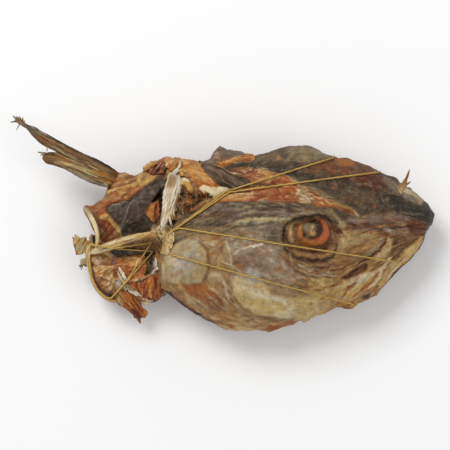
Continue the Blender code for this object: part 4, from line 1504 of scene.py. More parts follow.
# The snout's side and the jaws
HEAD_JAW = (
    Area(MAUVE, 0.85, 0, 3, ((102, -2), (110, 6), (116, 7), (130, 9), (150, 8), (166, 4), (175, -2), (160, -5),
        (140, -5), (118, -6))),
    Area(TAN, 0.85, 0, 3, ((100, -6), (118, -7), (140, -6), (158, -6), (168, -7), (170, -18), (158, -36), (136, -58),
        (112, -74), (98, -72), (90, -62), (96, -48), (92, -30), (98, -18))),
    Streak(BARK, 0.7, -1.0, 1.5, 2.2, ((104, 0), (114, -1), (126, -1.5), (140, 0.5), (152, 0.4))),
    Streak(TAN, 0.6, 0.5, 1.4, 2.4, ((128, -2.5), (140, -1), (152, -0.2), (164, 0.6))),
    Streak(LIVER, 0.6, -1.2, 1.5, 2.2, ((126, -4), (140, -3.4), (150, -1.8), (164, -1.4), (173, 1))),
    Spot(ASH, 0.95, 0.7, 2, 140, -6, 11, 5, -16, gloss=0.3),
    Streak(MAUVE, 0.5, 0.5, 2, 3.4, ((142, -6), (150, -8), (158, -8))),
    Area(LIVER, 0.75, 0, 3, ((156, 4), (170, 3), (180, -2), (176, -9), (168, -11), (158, -8))),
    Scatter(90, 9, 1.6, (RUST, OXIDE, TAN, LIVER, BARK), ((104, 6), (130, 8), (160, 6), (170, 0), (164, -14),
        (150, -20), (134, -30), (112, -36), (98, -30), (100, -10)), 0.5, 0.4, 1.4, 10),
    # upper jaw and cheek folds
    Area(CREAM, 0.65, 0.6, 2.4, ((99, -5), (104, -7), (106, -12), (104, -18), (100, -20), (99, -12))),
    Area(HUSK, 0.55, 0.4, 3, ((105, -10), (114, -8), (124, -9), (128, -12), (122, -16), (110, -18), (104, -16))),
    Streak(UMBER, 0.65, -0.6, 2, 3, ((100, -23), (108, -21), (118, -16), (127, -12))),
    Area(UMBER, 0.7, 0, 3, ((98, -26), (108, -24), (118, -22), (126, -20), (122, -26), (112, -32), (102, -36),
        (94, -36), (90, -32))),
    Streak(TAN, 0.7, 0.5, 1.6, 3, ((92, -31), (102, -28), (112, -27))),
    Streak(DOVE, 0.6, 0.8, 1.6, 3.4, ((112, -30), (122, -25), (130, -18), (135, -10))),
    Streak(LIVER, 0.85, -1.0, 1.3, 1.9, ((138, -8.5), (136.5, -14), (132, -20.5), (126, -26), (118, -31),
        (110, -36))),
    Area(CREAM, 0.7, 0.8, 2.4, ((139, -11), (144, -13), (142, -20), (137, -28), (130, -31), (128, -28), (133, -22),
        (137, -16)), grain=0.6),
    Area(BARK, 0.85, -1.2, 2.5, ((144, -10), (155, -9), (166, -7), (170, -10), (161, -17), (152, -24), (144, -30),
        (140, -28), (143, -20))),
    Area(LIVER, 0.9, -2.0, 2, ((120, -33), (122, -36.5), (118, -41.5), (112, -44.5), (105, -47), (99, -46.5),
        (105, -41.5), (112, -37)), ragged=0.6),
    Scatter(100, 9, 1.5, (RUST, BONE, OXIDE, CREAM, UMBER), ((166, -14), (150, -26), (138, -34), (120, -38),
        (100, -50), (96, -66), (112, -70), (130, -56), (146, -40), (160, -26)), 0.45, 0.4, 1.3, 8),
    # pale jaw bones
    Area(CREAM, 0.92, 1.2, 1.8, ((100, -48), (106, -48.5), (114, -45.5), (121, -41.5), (130, -38.5), (136, -34.5),
        (132, -42), (126, -50), (118, -57), (108, -64), (101, -67), (99, -60), (103, -54)), grain=0.5),
    Area(PEARL, 0.7, 0.4, 2.5, ((113, -43.5), (122, -41), (128, -41), (120, -48), (112, -49))),
    Streak(HONEY, 0.7, 0.3, 3, 5, ((126, -45), (117, -53), (107, -61), (101, -66))),
    Streak(OXIDE, 0.75, -0.8, 1.6, 3, ((112, -49), (105, -55), (100, -62))),
    Streak(RUST, 0.7, -0.8, 1.4, 2.4, ((131, -40), (126, -48), (118, -55), (109, -62))),
    Streak(BONE, 0.9, 1.0, 1.4, 3, ((143, -27.5), (138, -33), (135, -37), (133, -42), (130, -48), (123, -54))),
    Area(STRAW, 0.95, 1.6, 1.6, ((170, -11), (165, -13.5), (158, -20), (150, -27), (143, -35), (137, -42), (132, -51),
        (134, -54), (140, -47), (148, -38), (156, -31), (164, -23), (169, -16)), grain=0.5),
    Streak(HONEY, 0.7, 0.4, 1.6, 3, ((167, -13), (160, -21), (152, -29))),
    Streak(CREAM, 0.8, 0.4, 1.4, 2.4, ((166, -15), (158, -24), (150, -32))),
    Streak(BONE, 0.8, 0.4, 1.6, 3, ((153, -29), (146, -36), (139, -45))),
    Streak(UMBER, 0.5, -0.5, 1, 1.4, ((156, -25), (148, -33), (141, -41), (137, -48))),
    Streak(UMBER, 0.6, -0.4, 1.4, 2.4, ((168, -9), (163, -13), (156, -18))),
    # throat side
    Area(AMBER, 0.7, 0.5, 2, ((98, -66), (108, -65), (116, -66), (115, -71), (108, -74), (98, -72))),
    Spot(OXIDE, 0.5, 0, 1.6, 105, -71, 14, 2.4, -4),
    Area(TAN, 0.6, 0, 3, ((86, -60), (94, -66), (96, -71), (86, -76), (80, -70))),
    Spot(SOOT, 0.85, -0.6, 1.5, 121, -61, 8, 3, 20),
    # dark line along the jaw's lower edge: the jaw's dark skin seen edge-on, with painted shade
    Streak(SOOT, 0.92, -1.2, 1.2, 3.4, ((174, -7), (171.5, -15), (166, -23.5), (158, -32.5), (149, -41), (142, -48.5),
        (136, -55.5)), taper=0.3),
    Streak(DOVE, 0.4, 0, 1.5, 2.4, ((176, -1), (174, -6), (171, -12))),
)

# The eye's outline: a slanted drop, blunt towards the snout
EYE_EDGE = (
    (57.8, -4), (60, 1), (65, 4.2), (73, 5.6), (81, 5.4), (85.6, 2.6), (88.4, -3), (89, -9), (86, -14.4),
    (80.6, -17.6), (73, -18.2), (66, -16.2), (60.4, -11),
)
EYEBALL_MARKS = (
    Area(ORANGE, 0.5, 0, 2.5, ((85, 2), (90, -4), (88, -12), (82, -17), (80, -13), (83.5, -8), (84, -3))),
    Streak(OXIDE, 0.6, 0, 1.2, 1.6, ((83, 2), (85, -4), (83, -10), (79, -14))),
    Area(CORAL, 0.85, 0, 2, ((80, 4.6), (85.4, 3), (88, -4), (88, -10), (85, -14.6), (80, -16), (80, -12.6),
        (83.6, -7), (83.4, 0)), ragged=0.4),
    Streak(DOVE, 0.5, 0.2, 1.2, 1.4, ((85, 3), (88, -3), (88, -9))),
    Area(AMBER, 0.6, 0, 2.5, ((60, 0), (64, 3), (66, -2), (65.4, -9), (70, -13), (80, -13), (76, -18), (66, -17),
        (59, -10))),
    Streak(RUST, 0.8, 0, 1.6, 2.6, ((59, -6), (60, -12), (64, -16.5), (72, -18))),
    Streak(TAN, 0.7, 0.3, 1.4, 1.6, ((64, -1), (63, -7), (67, -13), (75, -15))),
    Spot(SOOT, 0.95, 0, 2, 74.4, -3.6, 17.4, 17, ragged=0.3, gloss=-0.2),
    Spot(OLIVE, 0.85, 0, 3.4, 71.8, -2.6, 12, 12.4, 30, ragged=0.2),
    # the HUSK and HONEY spots on the pupil are a painted highlight
    Spot(MOSS, 0.8, 0, 3, 71, -3, 7, 8, 20, ragged=0.2), Spot(HUSK, 0.75, 0, 2.4, 74.6, -3.6, 3.6, 8, -6, ragged=0.2),
    Spot(HONEY, 0.75, 0, 2.4, 74.4, -7.8, 6, 4, ragged=0.2), Spot(PITCH, 0.6, 0, 2.4, 73, 3, 9, 3.6, -10, ragged=0.2),
    Spot(PITCH, 0.85, 0, 1.4, 68.4, -9.6, 5, 2.6, -36),
    Scatter(40, 4, 0.9, (OXIDE, TAN, WINE), ((59, -2), (66, 4), (84, 6), (89, -4), (84, -16), (68, -17)), 0.45, 0.1,
        1, 30),
)
BARB_SPINE = (
    (146, 23, 48, 7, 3, 0), (149.6, 28, 51.6, 6, 3, 0), (152.4, 33.4, 55.6, 4.4, 2.4, 0), (155, 40, 60, 2.4, 1.8, 0),
    (157.3, 47, 64, 0.7, 0.8, 0),
)
TINE_SPINE = ((151, 31, 54, 3, 2, 0), (155, 34, 56, 2.2, 1.4, 0), (158.6, 36.4, 57, 0.8, 0.7, 0))


@dataclass
class Head:
    """The head: one skin from the gill cover to the snout, with its eye.

    Attributes:
        around: Points round a ring of the skin.
        along: Rings of the skin from end to end.
        eye_level: Height of the eyeball's middle, in millimetres.
        eye_height: Height of the eyeball from back to front, in millimetres.
    """

    around: int = 300
    along: int = 300
    eye_level: float = 80.0
    eye_height: float = 11.0

    def build(self) -> Pieces:
        """Make the skin and the eyeball.

        Returns:
            The pieces of the head.
        """
        marks = HEAD_CHEEK + HEAD_NAPE + HEAD_CROWN + HEAD_JAW + HEAD_EYE
        skin = Loft(HEAD_SECTIONS, self.around, self.along, FAWN, marks, HEAD_FLOW, 11, HEAD_FAR_EDGE, HEAD_NEAR_EDGE,
            under=UMBER)
        made = [fish_piece("head_skin", [skin], SKIN)]
        ball = Flake(EYE_EDGE, self.eye_level, RUST, thickness=self.eye_height * 0.4, dome=self.eye_height * 0.55,
            curl=-1.2, marks=EYEBALL_MARKS, grain=40, fibre=(0.015, 0.02), crease=0.25, around=96, along=96,
            gloss=0.15, seed=5, torn=0.3)
        made.append(fish_piece("eyeball", [ball], EYE))
        barb = Strip(BARB_SPINE, (DOVE, CREAM, TAN, UMBER, FAWN), UMBER, 16, 60, 0.2, 0.25, 0.9, ragged=0.3, seed=14)
        tine = Strip(TINE_SPINE, (BONE, TAN, UMBER), None, 10, 20, ragged=0.3, seed=15)
        made.append(fish_piece("snout_barb", [barb, tine], FIBRE))
        return made


# ---------------------------------------------------------------- the collar behind the head

COLLAR_SECTIONS = (
    Section(-120.5, 14, 12, 13, 26, 24, 22),
    Section(-117, 17, 6, 12, 30, 24, 14),
    Section(-111, 19, -6, 8, 34, 24, 9),
    Section(-105, 24, -14, 6, 38, 25, 6),
    Section(-98, 36, -17, 8, 42, 26, 4),
    Section(-90, 45, -18, 14, 45, 28, 3),
    Section(-78, 42, -20, 16, 48, 30, 1),
    Section(-70, 46, -22, 18, 51, 30, 0),
    Section(-62, 53, -24, 20, 57, 32, 0),
    Section(-50, 57.5, -26, 22, 66, 34, 0),
    Section(-38, 56, -28, 24, 73, 36, 0),
    Section(-20, 53, -28, 26, 76, 38, 2),
    Section(-10, 60, -28, 28, 76, 40, 4),
    Section(-4, 66, -28, 30, 74, 40, 6),
    Section(10, 63, -24, 30, 72, 40, 8),
    Section(22, 59.5, -20, 32, 66, 38, 10),
    Section(30, 42, 22, 32, 52, 46, 40),
)
COLLAR_FAR_EDGE = (
    (-119.8, 15), (-118, 16.5), (-115, 16), (-112, 16), (-108, 18.3), (-104, 20.6), (-102, 23.5), (-100.6, 27),
    (-99.5, 31), (-98, 37), (-95, 41), (-91, 45), (-88, 44.4), (-84, 43.6), (-80, 42.8), (-77, 41.6), (-74, 41.6),
    (-72, 42.6), (-69.5, 44.4), (-67.8, 47), (-67, 50), (-65, 51.8), (-61, 53), (-57, 53.8), (-54.5, 55.4), (-51, 57),
    (-48, 57.4), (-45.5, 56.2), (-43, 55.6), (-41, 56.8), (-38.5, 56), (-36, 54.8), (-33, 55.4), (-29, 54.8),
    (-25, 53.6), (-21, 52.9), (-18, 53), (-15, 54.6), (-11.5, 55.6), (-10, 58.4), (-8.6, 61.4), (-5.5, 64.6),
    (-3, 66.8), (-0.5, 65.6), (3, 63.6), (10, 62.8), (20, 60.2), (27, 58.2),
)
COLLAR_FLOW = Flow(
    (
        Grain(-105, 15, 30), Grain(-90, 25, 14, 14), Grain(-88, 37, 12, 12), Grain(-70, 38, 34, 12),
        Grain(-75, 10, 68, 14), Grain(-90, 8, 50, 12), Grain(-65, 25, 44, 12), Grain(-100, -5, 70, 12),
        Grain(-60, 48, 30, 12), Grain(-44, 50, 60, 12), Grain(-25, 45, 0, 14), Grain(-10, 42, -42, 14),
        Grain(0, 60, -14, 12), Grain(15, 56, 10, 12), Grain(-56, 10, 84, 10), Grain(-30, 20, 30, 12),
    )
)
COLLAR_MARKS = (
    Spot(RUST, 0.85, -0.6, 4, -92, 34.5, 15, 7, 10), Streak(BARK, 0.7, -0.7, 2, 3, ((-97, 31), (-98, 37), (-96, 42))),
    Spot(TAN, 0.6, 0.4, 3, -80, 36, 12, 4, 14),
    Area(HONEY, 0.85, 2.2, 3, ((-74, 42), (-71, 44), (-66, 44), (-60, 42), (-56, 41), (-58, 37), (-62, 34),
        (-66, 31.5), (-71, 33), (-74, 37)), grain=0.7),
    Streak(CREAM, 0.4, 0.5, 1.6, 2.4, ((-73, 36), (-72, 40), (-68, 42))),
    Streak(HONEY, 0.9, 1.6, 1.6, 3.8, ((-104, 24.5), (-97, 28), (-89, 30.8), (-80, 32), (-73, 34.5))),
    Area(RUST, 0.85, 0, 2.5, ((-116, 16), (-108, 19), (-102, 24), (-92, 28.5), (-80, 30.5), (-71, 32), (-68, 30),
        (-75, 26), (-79, 21.5), (-88, 19.5), (-96, 17.5), (-100, 13), (-98, 8), (-106, 6), (-112, 13)), grain=1.3),
    Area(TAN, 0.75, 0.6, 3, ((-110, 17.5), (-104, 21.5), (-97, 26), (-98, 21), (-103, 17), (-109, 14))),
    Spot(MAUVE, 0.3, 0, 4, -109, 12, 10, 8),
    Streak(HONEY, 0.8, 0.8, 2, 3.4, ((-90, 28.5), (-87, 26.5), (-84, 23.5), (-82.5, 21))),
    Area(HONEY, 0.85, 0.9, 2, ((-107, 7), (-103, 8.5), (-98, 9.5), (-95, 5), (-91, 1), (-87, -3), (-84, -7),
        (-90, -6.5), (-94, -2), (-99, 2.5), (-105, 3.5))),
    Area(OXIDE, 0.9, -1.4, 2.2, ((-108, 3.5), (-103, 4), (-98, 2), (-93, -3), (-91, -8), (-92, -16), (-108, -20),
        (-107, -8)), gloss=0.2),
    Spot(WINE, 0.7, 0, 4, -104, -4, 8, 12, 20), Spot(RUST, 0.6, 0, 4, -97, -12, 14, 7, 20),
    Streak(CREAM, 0.6, 0.7, 1.6, 2.4, ((-88, -3), (-91, -6), (-96, -12), (-99, -15))),
    # the black belly lining
    Area(HIDE, 0.95, -3.0, 1.6, ((-100.5, 13), (-97, 16.6), (-92, 18.8), (-85, 20), (-80, 21), (-77, 24),
        (-73.5, 27.6), (-70, 29.4), (-65, 32), (-61, 35), (-57.5, 38.8), (-54.5, 41.6), (-52.5, 40.6), (-50.5, 37.4),
        (-46, 37), (-43, 36), (-47, 32), (-51, 28), (-54, 22), (-58, 19), (-62.5, 15), (-66, 10), (-64, 4), (-58, -2),
        (-58, -12), (-84, -12), (-86.5, -4), (-89, -1), (-92, 2.5), (-95.5, 7.4)), ragged=0.7, gloss=0.25, grain=0.3),
    Area(SLATE, 0.6, 0.8, 4, ((-98, 13), (-92, 16.5), (-84, 17.5), (-80, 12), (-84, 2), (-90, 3), (-94, 8)),
        ragged=2.2),
    Area(SLATE, 0.5, 0.9, 4, ((-79, 19), (-73, 24), (-66, 28), (-60, 31), (-56, 36), (-53, 38), (-55, 32), (-62, 26),
        (-67, 20), (-72, 14), (-79, 10)), ragged=2.2),
    Streak(ASH, 0.5, 0.7, 1.2, 1.4, ((-97.5, 13.5), (-94, 16.8), (-87, 18.4), (-81, 19)), ragged=1.2),
    Streak(ASH, 0.75, 1.2, 1, 1.7, ((-88, -5), (-85, 2), (-82.5, 9), (-80.8, 14), (-79, 18), (-76, 22)), ragged=0.7),
    Scatter(90, 5, 1.2, (DOVE, SOOT, ASH, PITCH, MAUVE), ((-99, 14), (-84, 19), (-74, 27), (-56, 38), (-46, 36),
        (-56, 22), (-66, 10), (-62, -6), (-82, -8), (-94, 6)), 0.4, 0.6, 1, 50),
    Area(SOOT, 0.45, 0, 3, ((-98, 13), (-84, 18), (-74, 27), (-56, 40), (-45, 36), (-56, 20), (-64, 10), (-62, -6),
        (-84, -8))),
    Area(PITCH, 0.5, -2.0, 3, ((-84, -4), (-76, 0), (-68, 4), (-66, 9), (-62, 4), (-58, -3), (-60, -9), (-84, -10))),
    # near-black painted shade in the deep hole between the orange lobe and the bony strips
    Spot(HOLE_SHADE, 0.7, -2, 3, -54, 23, 5, 14, -12),
    Area(HOLE_SHADE, 0.95, -6.0, 2.2, ((-60.5, 19), (-57, 24), (-54, 29), (-51, 32), (-47, 34), (-44, 33), (-48, 28),
        (-51, 22), (-52, 12), (-52, 2), (-55, -3), (-58, 0), (-54, 6), (-53.5, 14), (-55, 20), (-58, 18.6))),
    # the orange lobe at the throat
    Area(RUST, 0.95, 1.8, 1.8, ((-66, 9), (-64.5, 13.4), (-61.4, 17.6), (-58, 19), (-54.4, 19.6), (-53.4, 14),
        (-54, 7), (-56, 2), (-60, 2.2), (-63.6, 5)), gloss=0.2),
    # the AMBER area is a painted highlight on the lobe's left side
    Area(AMBER, 0.8, 0.8, 2, ((-65, 9), (-63.6, 13), (-60.6, 16.6), (-58.4, 15), (-59.4, 9), (-60, 4.4), (-63, 5.6))),
    Streak(LIVER, 0.85, -0.9, 1, 1.7, ((-57, 18.6), (-57.6, 12), (-57, 5), (-58.6, 0))),
    # the torn flesh along the top
    Area(HONEY, 0.9, 2.0, 1.8, ((-69, 46), (-67, 50), (-63, 53.5), (-57, 54), (-60, 50), (-62, 47), (-65, 45.4))),
    Area(WINE, 0.9, -1.6, 2, ((-66, 44.5), (-62, 46.6), (-58, 50), (-53, 54), (-49, 57), (-47, 52), (-50, 46),
        (-52, 41), (-56, 43), (-61, 43)), ragged=1.4),
    Streak(OXIDE, 0.7, 0.7, 1.5, 3, ((-64, 46), (-59, 49), (-55, 53)), ragged=1.4),
    Spot(LIVER, 0.8, -1.0, 2.5, -51.5, 50, 12, 5, 70), Spot(LIVER, 0.7, -0.8, 2, -49, 45, 8, 4, 60),
    Area(TAN, 0.9, 0.8, 1.8, ((-49, 57.6), (-45, 57), (-42, 56), (-37, 56), (-36, 50), (-37, 44), (-42, 40),
        (-47, 41), (-48.6, 47), (-47.6, 52))),
    Spot(ORANGE, 0.5, 0.5, 2, -47.5, 54.5, 6, 4), Spot(CREAM, 0.6, 0.5, 2, -43, 52, 7, 5),
    Spot(LIVER, 0.8, 0.4, 1.2, -40.5, 56, 5, 2),
    # the shoulder
    Area(AMBER, 0.92, 1.4, 2, ((-38, 55), (-34, 56), (-28, 56), (-20, 54), (-15, 47.6), (-9.6, 41), (-4, 36.6),
        (-1, 34), (-6, 31.4), (-14, 31.8), (-20, 32.2), (-24, 35), (-26, 38.6), (-30, 43), (-36, 45)), grain=0.6),
    Spot(HONEY, 0.6, 0.4, 4, -20, 46.5, 14, 7, -10), Spot(RUST, 0.5, 0, 5, -12, 39, 20, 8, -38),
    Streak(RUST, 0.8, -0.8, 2, 3, ((-25, 37.6), (-20, 33.4), (-13, 32), (-5, 33.4))),
    Streak(BONE, 0.8, 0.5, 1, 1.6, ((-37, 54.5), (-34, 53), (-32, 53.6))),
    Area(RUST, 0.7, 0, 4, ((-24, 37), (-15, 38), (-8, 36), (0, 35), (-4, 31), (-14, 31), (-22, 33))),
    # the gill hollow
    Area(BARK, 0.92, -4.0, 2.2, ((-43, 8), (-40, 12), (-38, 20), (-36, 27), (-33, 33), (-28, 26), (-22, 25),
        (-14, 25), (-9, 24), (-12, 20), (-22, 14), (-32, 9), (-40, 5)), ragged=1.2),
    Scatter(60, 5, 1.4, (RUST, PITCH, TAN, LIVER, OXIDE), ((-42, 8), (-36, 28), (-10, 24), (-24, 14)), 0.7, 0.6, 1,
        40),
    Spot(RUST, 0.55, 1.5, 2.5, -30, 20, 7, 9, 20), Spot(PITCH, 0.8, -1, 2, -33, 25, 5, 8),
    Spot(PITCH, 0.7, -1, 2.5, -28, 12, 14, 5, 24),
    Area(BONE, 0.95, 1.6, 1.4, ((-20.5, 30), (-17, 32.8), (-11, 31.4), (-4, 31.4), (4, 32), (5, 28), (-1, 25.4),
        (-6, 22.8), (-9, 22.2), (-13, 25), (-17.6, 27)), grain=0.6),
    Area(CREAM, 0.9, 1.0, 1.2, ((-40, 38), (-36, 38), (-32, 36.6), (-31, 33.6), (-34, 33), (-38, 34.6))),
    # the throat below the rays
    Area(FAWN, 0.9, 1.0, 2, ((-58, -2), (-54, 4), (-50, 6), (-46, 2), (-44, -6), (-44, -14), (-58, -14), (-62, -8))),
    Streak(CREAM, 0.5, 0.6, 1.4, 2.4, ((-61, -5), (-55, 2), (-52, 7)), ragged=1),
    # near-black painted shade in a small hole
    Area(HOLE_SHADE, 0.9, -2.4, 1.2, ((-48, 2.4), (-45, 3.6), (-40, 3), (-39, 0.6), (-42, -1.6), (-46, -0.6))),
    # the dark skin that pokes up behind the nape
    Area(SLATE, 0.92, 0.6, 1.8, ((-20, 54.5), (-15, 55.5), (-11, 57), (-9, 62), (-3, 68.5), (3, 65), (12, 64.4),
        (28, 60), (30, 57.5), (18, 58.6), (6, 56.4), (-4, 52.4), (-12, 50.6), (-18, 50.6)), ragged=1.1),
    Spot(BARK, 0.6, 0, 4, -4, 56, 20, 8, 10), Spot(DOVE, 0.5, 0.5, 3, -4.5, 60, 9, 6, 50),
    Spot(LIVER, 0.5, 0, 2, -3.6, 62, 5, 5),
    Area(AMBER, 0.9, 1.2, 1.5, ((-9, 50.4), (-3, 51.6), (5, 55), (14, 57.8), (22, 60), (27, 60), (30, 57.6), (29, 55),
        (22, 54.6), (12, 52.4), (3, 49.6), (-4, 48))),
    Streak(RUST, 0.6, 0.3, 1.4, 2.6, ((12, 55.6), (19, 58), (26, 58.6))),
    Streak(CREAM, 0.45, 0.5, 1.2, 1.8, ((0, 51.8), (8, 54.6), (15, 56.4))),
    Streak(OXIDE, 0.6, -0.6, 1.4, 2, ((-8, 49.6), (2, 50), (12, 53), (24, 55.6))),
    Area(SLATE, 0.8, 0, 2, ((-16, 50), (-8, 47.6), (0, 47.6), (6, 46), (12, 42), (8, 38), (0, 40), (-8, 42))),
    Area(WINE, 0.9, 0, 1.6, ((4, 45.4), (9, 46.8), (18, 47.2), (31, 47), (32, 42), (22, 41.6), (12, 43))),
    Streak(SOOT, 0.9, -0.4, 2, 5, ((2, 48), (10, 49.6), (20, 50.4), (32, 50.6))),
    Spot(ORANGE, 0.6, 0.4, 2, 17, 47.5, 12, 3, 4), Spot(CREAM, 0.8, 0.4, 1.2, 20, 44, 12, 2.4, -14),
    Streak(CREAM, 0.6, 0.4, 1, 1.4, ((6, 44.6), (10, 43), (15, 42.4))),
    Scatter(110, 6, 1.6, (TAN, OXIDE, HONEY, LIVER, CREAM), ((-112, 16), (-100, 30), (-90, 44), (-70, 42), (-60, 50),
        (-52, 44), (-62, 38), (-76, 27), (-98, 16)), 0.4, 0.4, 1.3, 20),
    Scatter(40, 5, 1.4, (TAN, LIVER, RUST, CREAM), ((-107, 5), (-98, 6), (-88, -4), (-92, -14), (-106, -16)), 0.4,
        0.4, 1.3, 30),
    Scatter(60, 7, 2, (HONEY, RUST, CREAM, ORANGE), ((-38, 54), (-20, 53), (-8, 40), (-2, 34), (-20, 33), (-32, 44)),
        0.35, 0.3, 1.6, 16),
)
# Course of the bony strips: y, middle in x, half of the width of all of them, and height
RAY_COURSE = (
    (-2, -51.6, 1.2, 66.6), (6, -49, 3.2, 69.1), (15, -46.4, 4.6, 70.9), (27, -43.4, 6.8, 72.3),
    (36, -41.6, 5.4, 72.5), (42, -41.4, 3.0, 72),
)
RAY_TINTS = (
    (HUSK, CREAM, PEARL, ASH), (FAWN, CREAM, ASH, HUSK), (UMBER, ASH, PEARL, CREAM), (FAWN, BONE, ASH, PEARL),
)
BUFF_TEAR_EDGE = (
    (-68.6, 45.4), (-67.8, 49.6), (-64, 53), (-59, 54), (-56.6, 52), (-58.4, 49.4), (-62, 47), (-65, 45),
)
BUFF_TEAR_MARKS = (Scatter(24, 5, 1.4, (CREAM, UMBER, RUST), ((-68, 45), (-66, 52), (-58, 54), (-58, 49)), 0.5),)
RED_TEAR_EDGE = (
    (-65, 44.6), (-60.6, 48), (-57, 51.4), (-54, 55), (-49.6, 57.4), (-47.6, 54), (-48, 48), (-50, 43.4), (-56, 43),
    (-61, 43),
)
RED_TEAR_MARKS = (
    Scatter(50, 6, 1.6, (LIVER, WINE, RUST, AMBER, PITCH), ((-64, 44), (-54, 55), (-48, 56), (-48, 46), (-56, 43)),
        0.7, 0.6),
)
PALE_TEAR_EDGE = (
    (-51, 55.4), (-47.4, 58), (-43.4, 56.4), (-40, 57.4), (-36.6, 56), (-35, 52), (-36.6, 48), (-41, 45.6), (-46, 46),
    (-48.8, 50), (-50, 53),
)
PALE_TEAR_MARKS = (
    Scatter(44, 5, 1.8, (CREAM, RUST, PEARL, AMBER, LIVER), ((-51, 55), (-38, 57), (-35, 50), (-44, 46)), 0.7, 0.6),
    Spot(ORANGE, 0.7, 0.3, 2, -47.6, 54.6, 6, 4), Spot(ORANGE, 0.7, 0.3, 2, -45, 47, 5, 5),
)
GLOSSY_LOBE_EDGE = (
    (-36, 38), (-33, 39.8), (-29.6, 38), (-26.6, 33.6), (-25, 29), (-26.4, 26.2), (-29.6, 26.4), (-31.8, 29.4),
    (-33.6, 33),
)
GLOSSY_LOBE_MARKS = (
    Spot(AMBER, 0.7, 0.3, 2, -28.6, 30.6, 5, 9, -62, gloss=0.2),
    # painted highlight along the lobe's upper edge
    Streak(PEARL, 0.85, 0.4, 1.2, 2.4, ((-35, 38), (-32, 38.6), (-29, 36))),
    Streak(RUST, 0.7, -0.4, 1.2, 1.8, ((-33, 32), (-30.4, 28), (-27.4, 26.6))),
)
SMALL_TEAR_MARKS = (Scatter(12, 4, 1.4, (CREAM, AMBER, RUST), ((-38, 46), (-31, 45), (-30, 40), (-37, 41)), 0.6),)
RAY_PLATE_EDGE = (
    (-46.8, 36), (-45.4, 41), (-42, 43.4), (-38.6, 41), (-36.2, 36), (-35.6, 30), (-37.4, 24), (-40, 17), (-43.2, 11),
    (-45.4, 5), (-48.4, 0), (-51.4, -3.4), (-53, -1), (-52.4, 6), (-51.6, 12), (-51.2, 20), (-50.8, 27), (-49.4, 32),
)
RAY_PLATE_MARKS = (
    Streak(UMBER, 0.6, -0.5, 0.8, 1.0, ((-51, 0), (-49.6, 12), (-48.6, 24), (-47, 34))),
    Streak(TAN, 0.5, -0.5, 0.8, 1.2, ((-49.4, 2), (-46.4, 14), (-44, 28), (-42.6, 38))),
    Streak(UMBER, 0.6, -0.5, 0.8, 0.9, ((-46.6, 8), (-42.6, 18), (-39.6, 28))),
    Scatter(46, 10, 1.3, (CHALK, ASH, CREAM, CHALK), RAY_PLATE_EDGE, 0.6, 0.3, 1, 6),
    Spot(UMBER, 0.7, 0, 5, -45, 37, 12, 10, 40),
)
RAY_HEAD_FILM_EDGE = (
    (-47.6, 39.4), (-46.6, 42), (-44, 44), (-41.6, 47), (-38, 47.6), (-36.6, 46), (-39, 43.4), (-42, 41), (-43, 38.4),
    (-45.8, 38),
)
RIGHT_FILM_EDGE = ((-38, 38.6), (-33, 37.4), (-30.6, 36), (-31.4, 33.6), (-34, 33), (-37, 34.6))
KNOT_EDGE = (
    (-62, -5.4), (-57, -2.6), (-52, 2), (-47.4, 0.6), (-44, -3.6), (-41, -8), (-41.6, -14), (-44, -20), (-47.6, -25),
    (-52.4, -25.6), (-56, -20), (-58, -14), (-61.4, -10),
)
STRAP_SPINE = (
    (-116, -25, 32, 4, 5, 0), (-107, -22, 40, 6.5, 7, 0), (-98, -18.6, 46, 7.4, 8, 0), (-88, -15, 50.5, 7, 8.6, 0),
    (-78, -11.8, 54, 6.2, 9, 0), (-68, -9.6, 57.5, 5.8, 8, 0), (-61, -9, 60.5, 6, 7, 0), (-55, -10.6, 62, 5, 6, 0),
)
STRAP_MARKS = (
    Streak(CHALK, 0.5, 0.4, 1.2, 1.6, ((-104, -20), (-94, -15.6), (-84, -11.8), (-74, -8.6), (-64, -7.4))),
    Streak(UMBER, 0.55, -0.5, 1, 1.1, ((-100, -20.6), (-90, -17), (-80, -13.2), (-70, -10.4), (-62, -9.6))),
    Streak(CHALK, 0.6, 0.4, 1.4, 2.6, ((-108, -23), (-100, -21.4), (-92, -19))),
    Scatter(50, 12, 1.1, (HONEY, PEARL, UMBER, CREAM), ((-112, -24), (-90, -12), (-66, -5), (-58, -8), (-70, -13),
        (-92, -20)), 0.5, 0.3, 1, 5),
)
LEFT_FOLD_SPINE = (
    (-119.6, 14.4, 30, 5, 5, 0), (-116.4, 11.6, 34, 5, 6, 0), (-112.6, 6, 38, 4.6, 6, 0), (-109.6, 0, 41, 4.4, 6, 0),
    (-107.6, -7, 43, 4, 6, 0), (-107.2, -14, 44, 3.6, 6, 0), (-109, -20, 42, 3, 5, 0),
)
KNOT_MARKS = (
    Spot(CREAM, 0.7, 0.6, 3, -47, -18, 8, 7, 60), Spot(PEARL, 0.6, 0.5, 2, -47, -22, 5, 5),
    Spot(UMBER, 0.6, -0.5, 2.4, -54.6, -17.6, 4, 9, -10), Spot(RUST, 0.5, -0.3, 2, -47, -4, 6, 4),
    Spot(PEARL, 0.5, 0.5, 2, -53, -2.4, 5, 6),
    Streak(STRAW, 0.7, 0.7, 1.2, 2.2, ((-60, -9), (-53, -10.6), (-48, -13), (-44, -18))),
    Streak(CREAM, 0.6, 0.6, 1.2, 2, ((-56, -3), (-51, -8), (-49, -14), (-50, -22))),
    Streak(UMBER, 0.6, -0.6, 1, 1.3, ((-58, -7), (-53, -8.6), (-48, -10.6), (-43, -14))),
    Scatter(60, 6, 1.3, (CREAM, UMBER, PEARL, HONEY, TAN), KNOT_EDGE, 0.5, 0.5, 1.1, 35),
)
NAPE_FOLD_EDGE = (
    (-21.4, 54.6), (-15, 53), (-8.6, 50.4), (-2, 47.6), (4, 44.4), (11, 40.4), (18, 38), (26, 36.6), (30, 34.6),
    (27, 32.6), (19, 31), (9, 30.4), (0, 32), (-6, 35), (-11, 39.6), (-16, 45.6), (-19.6, 50.4),
)
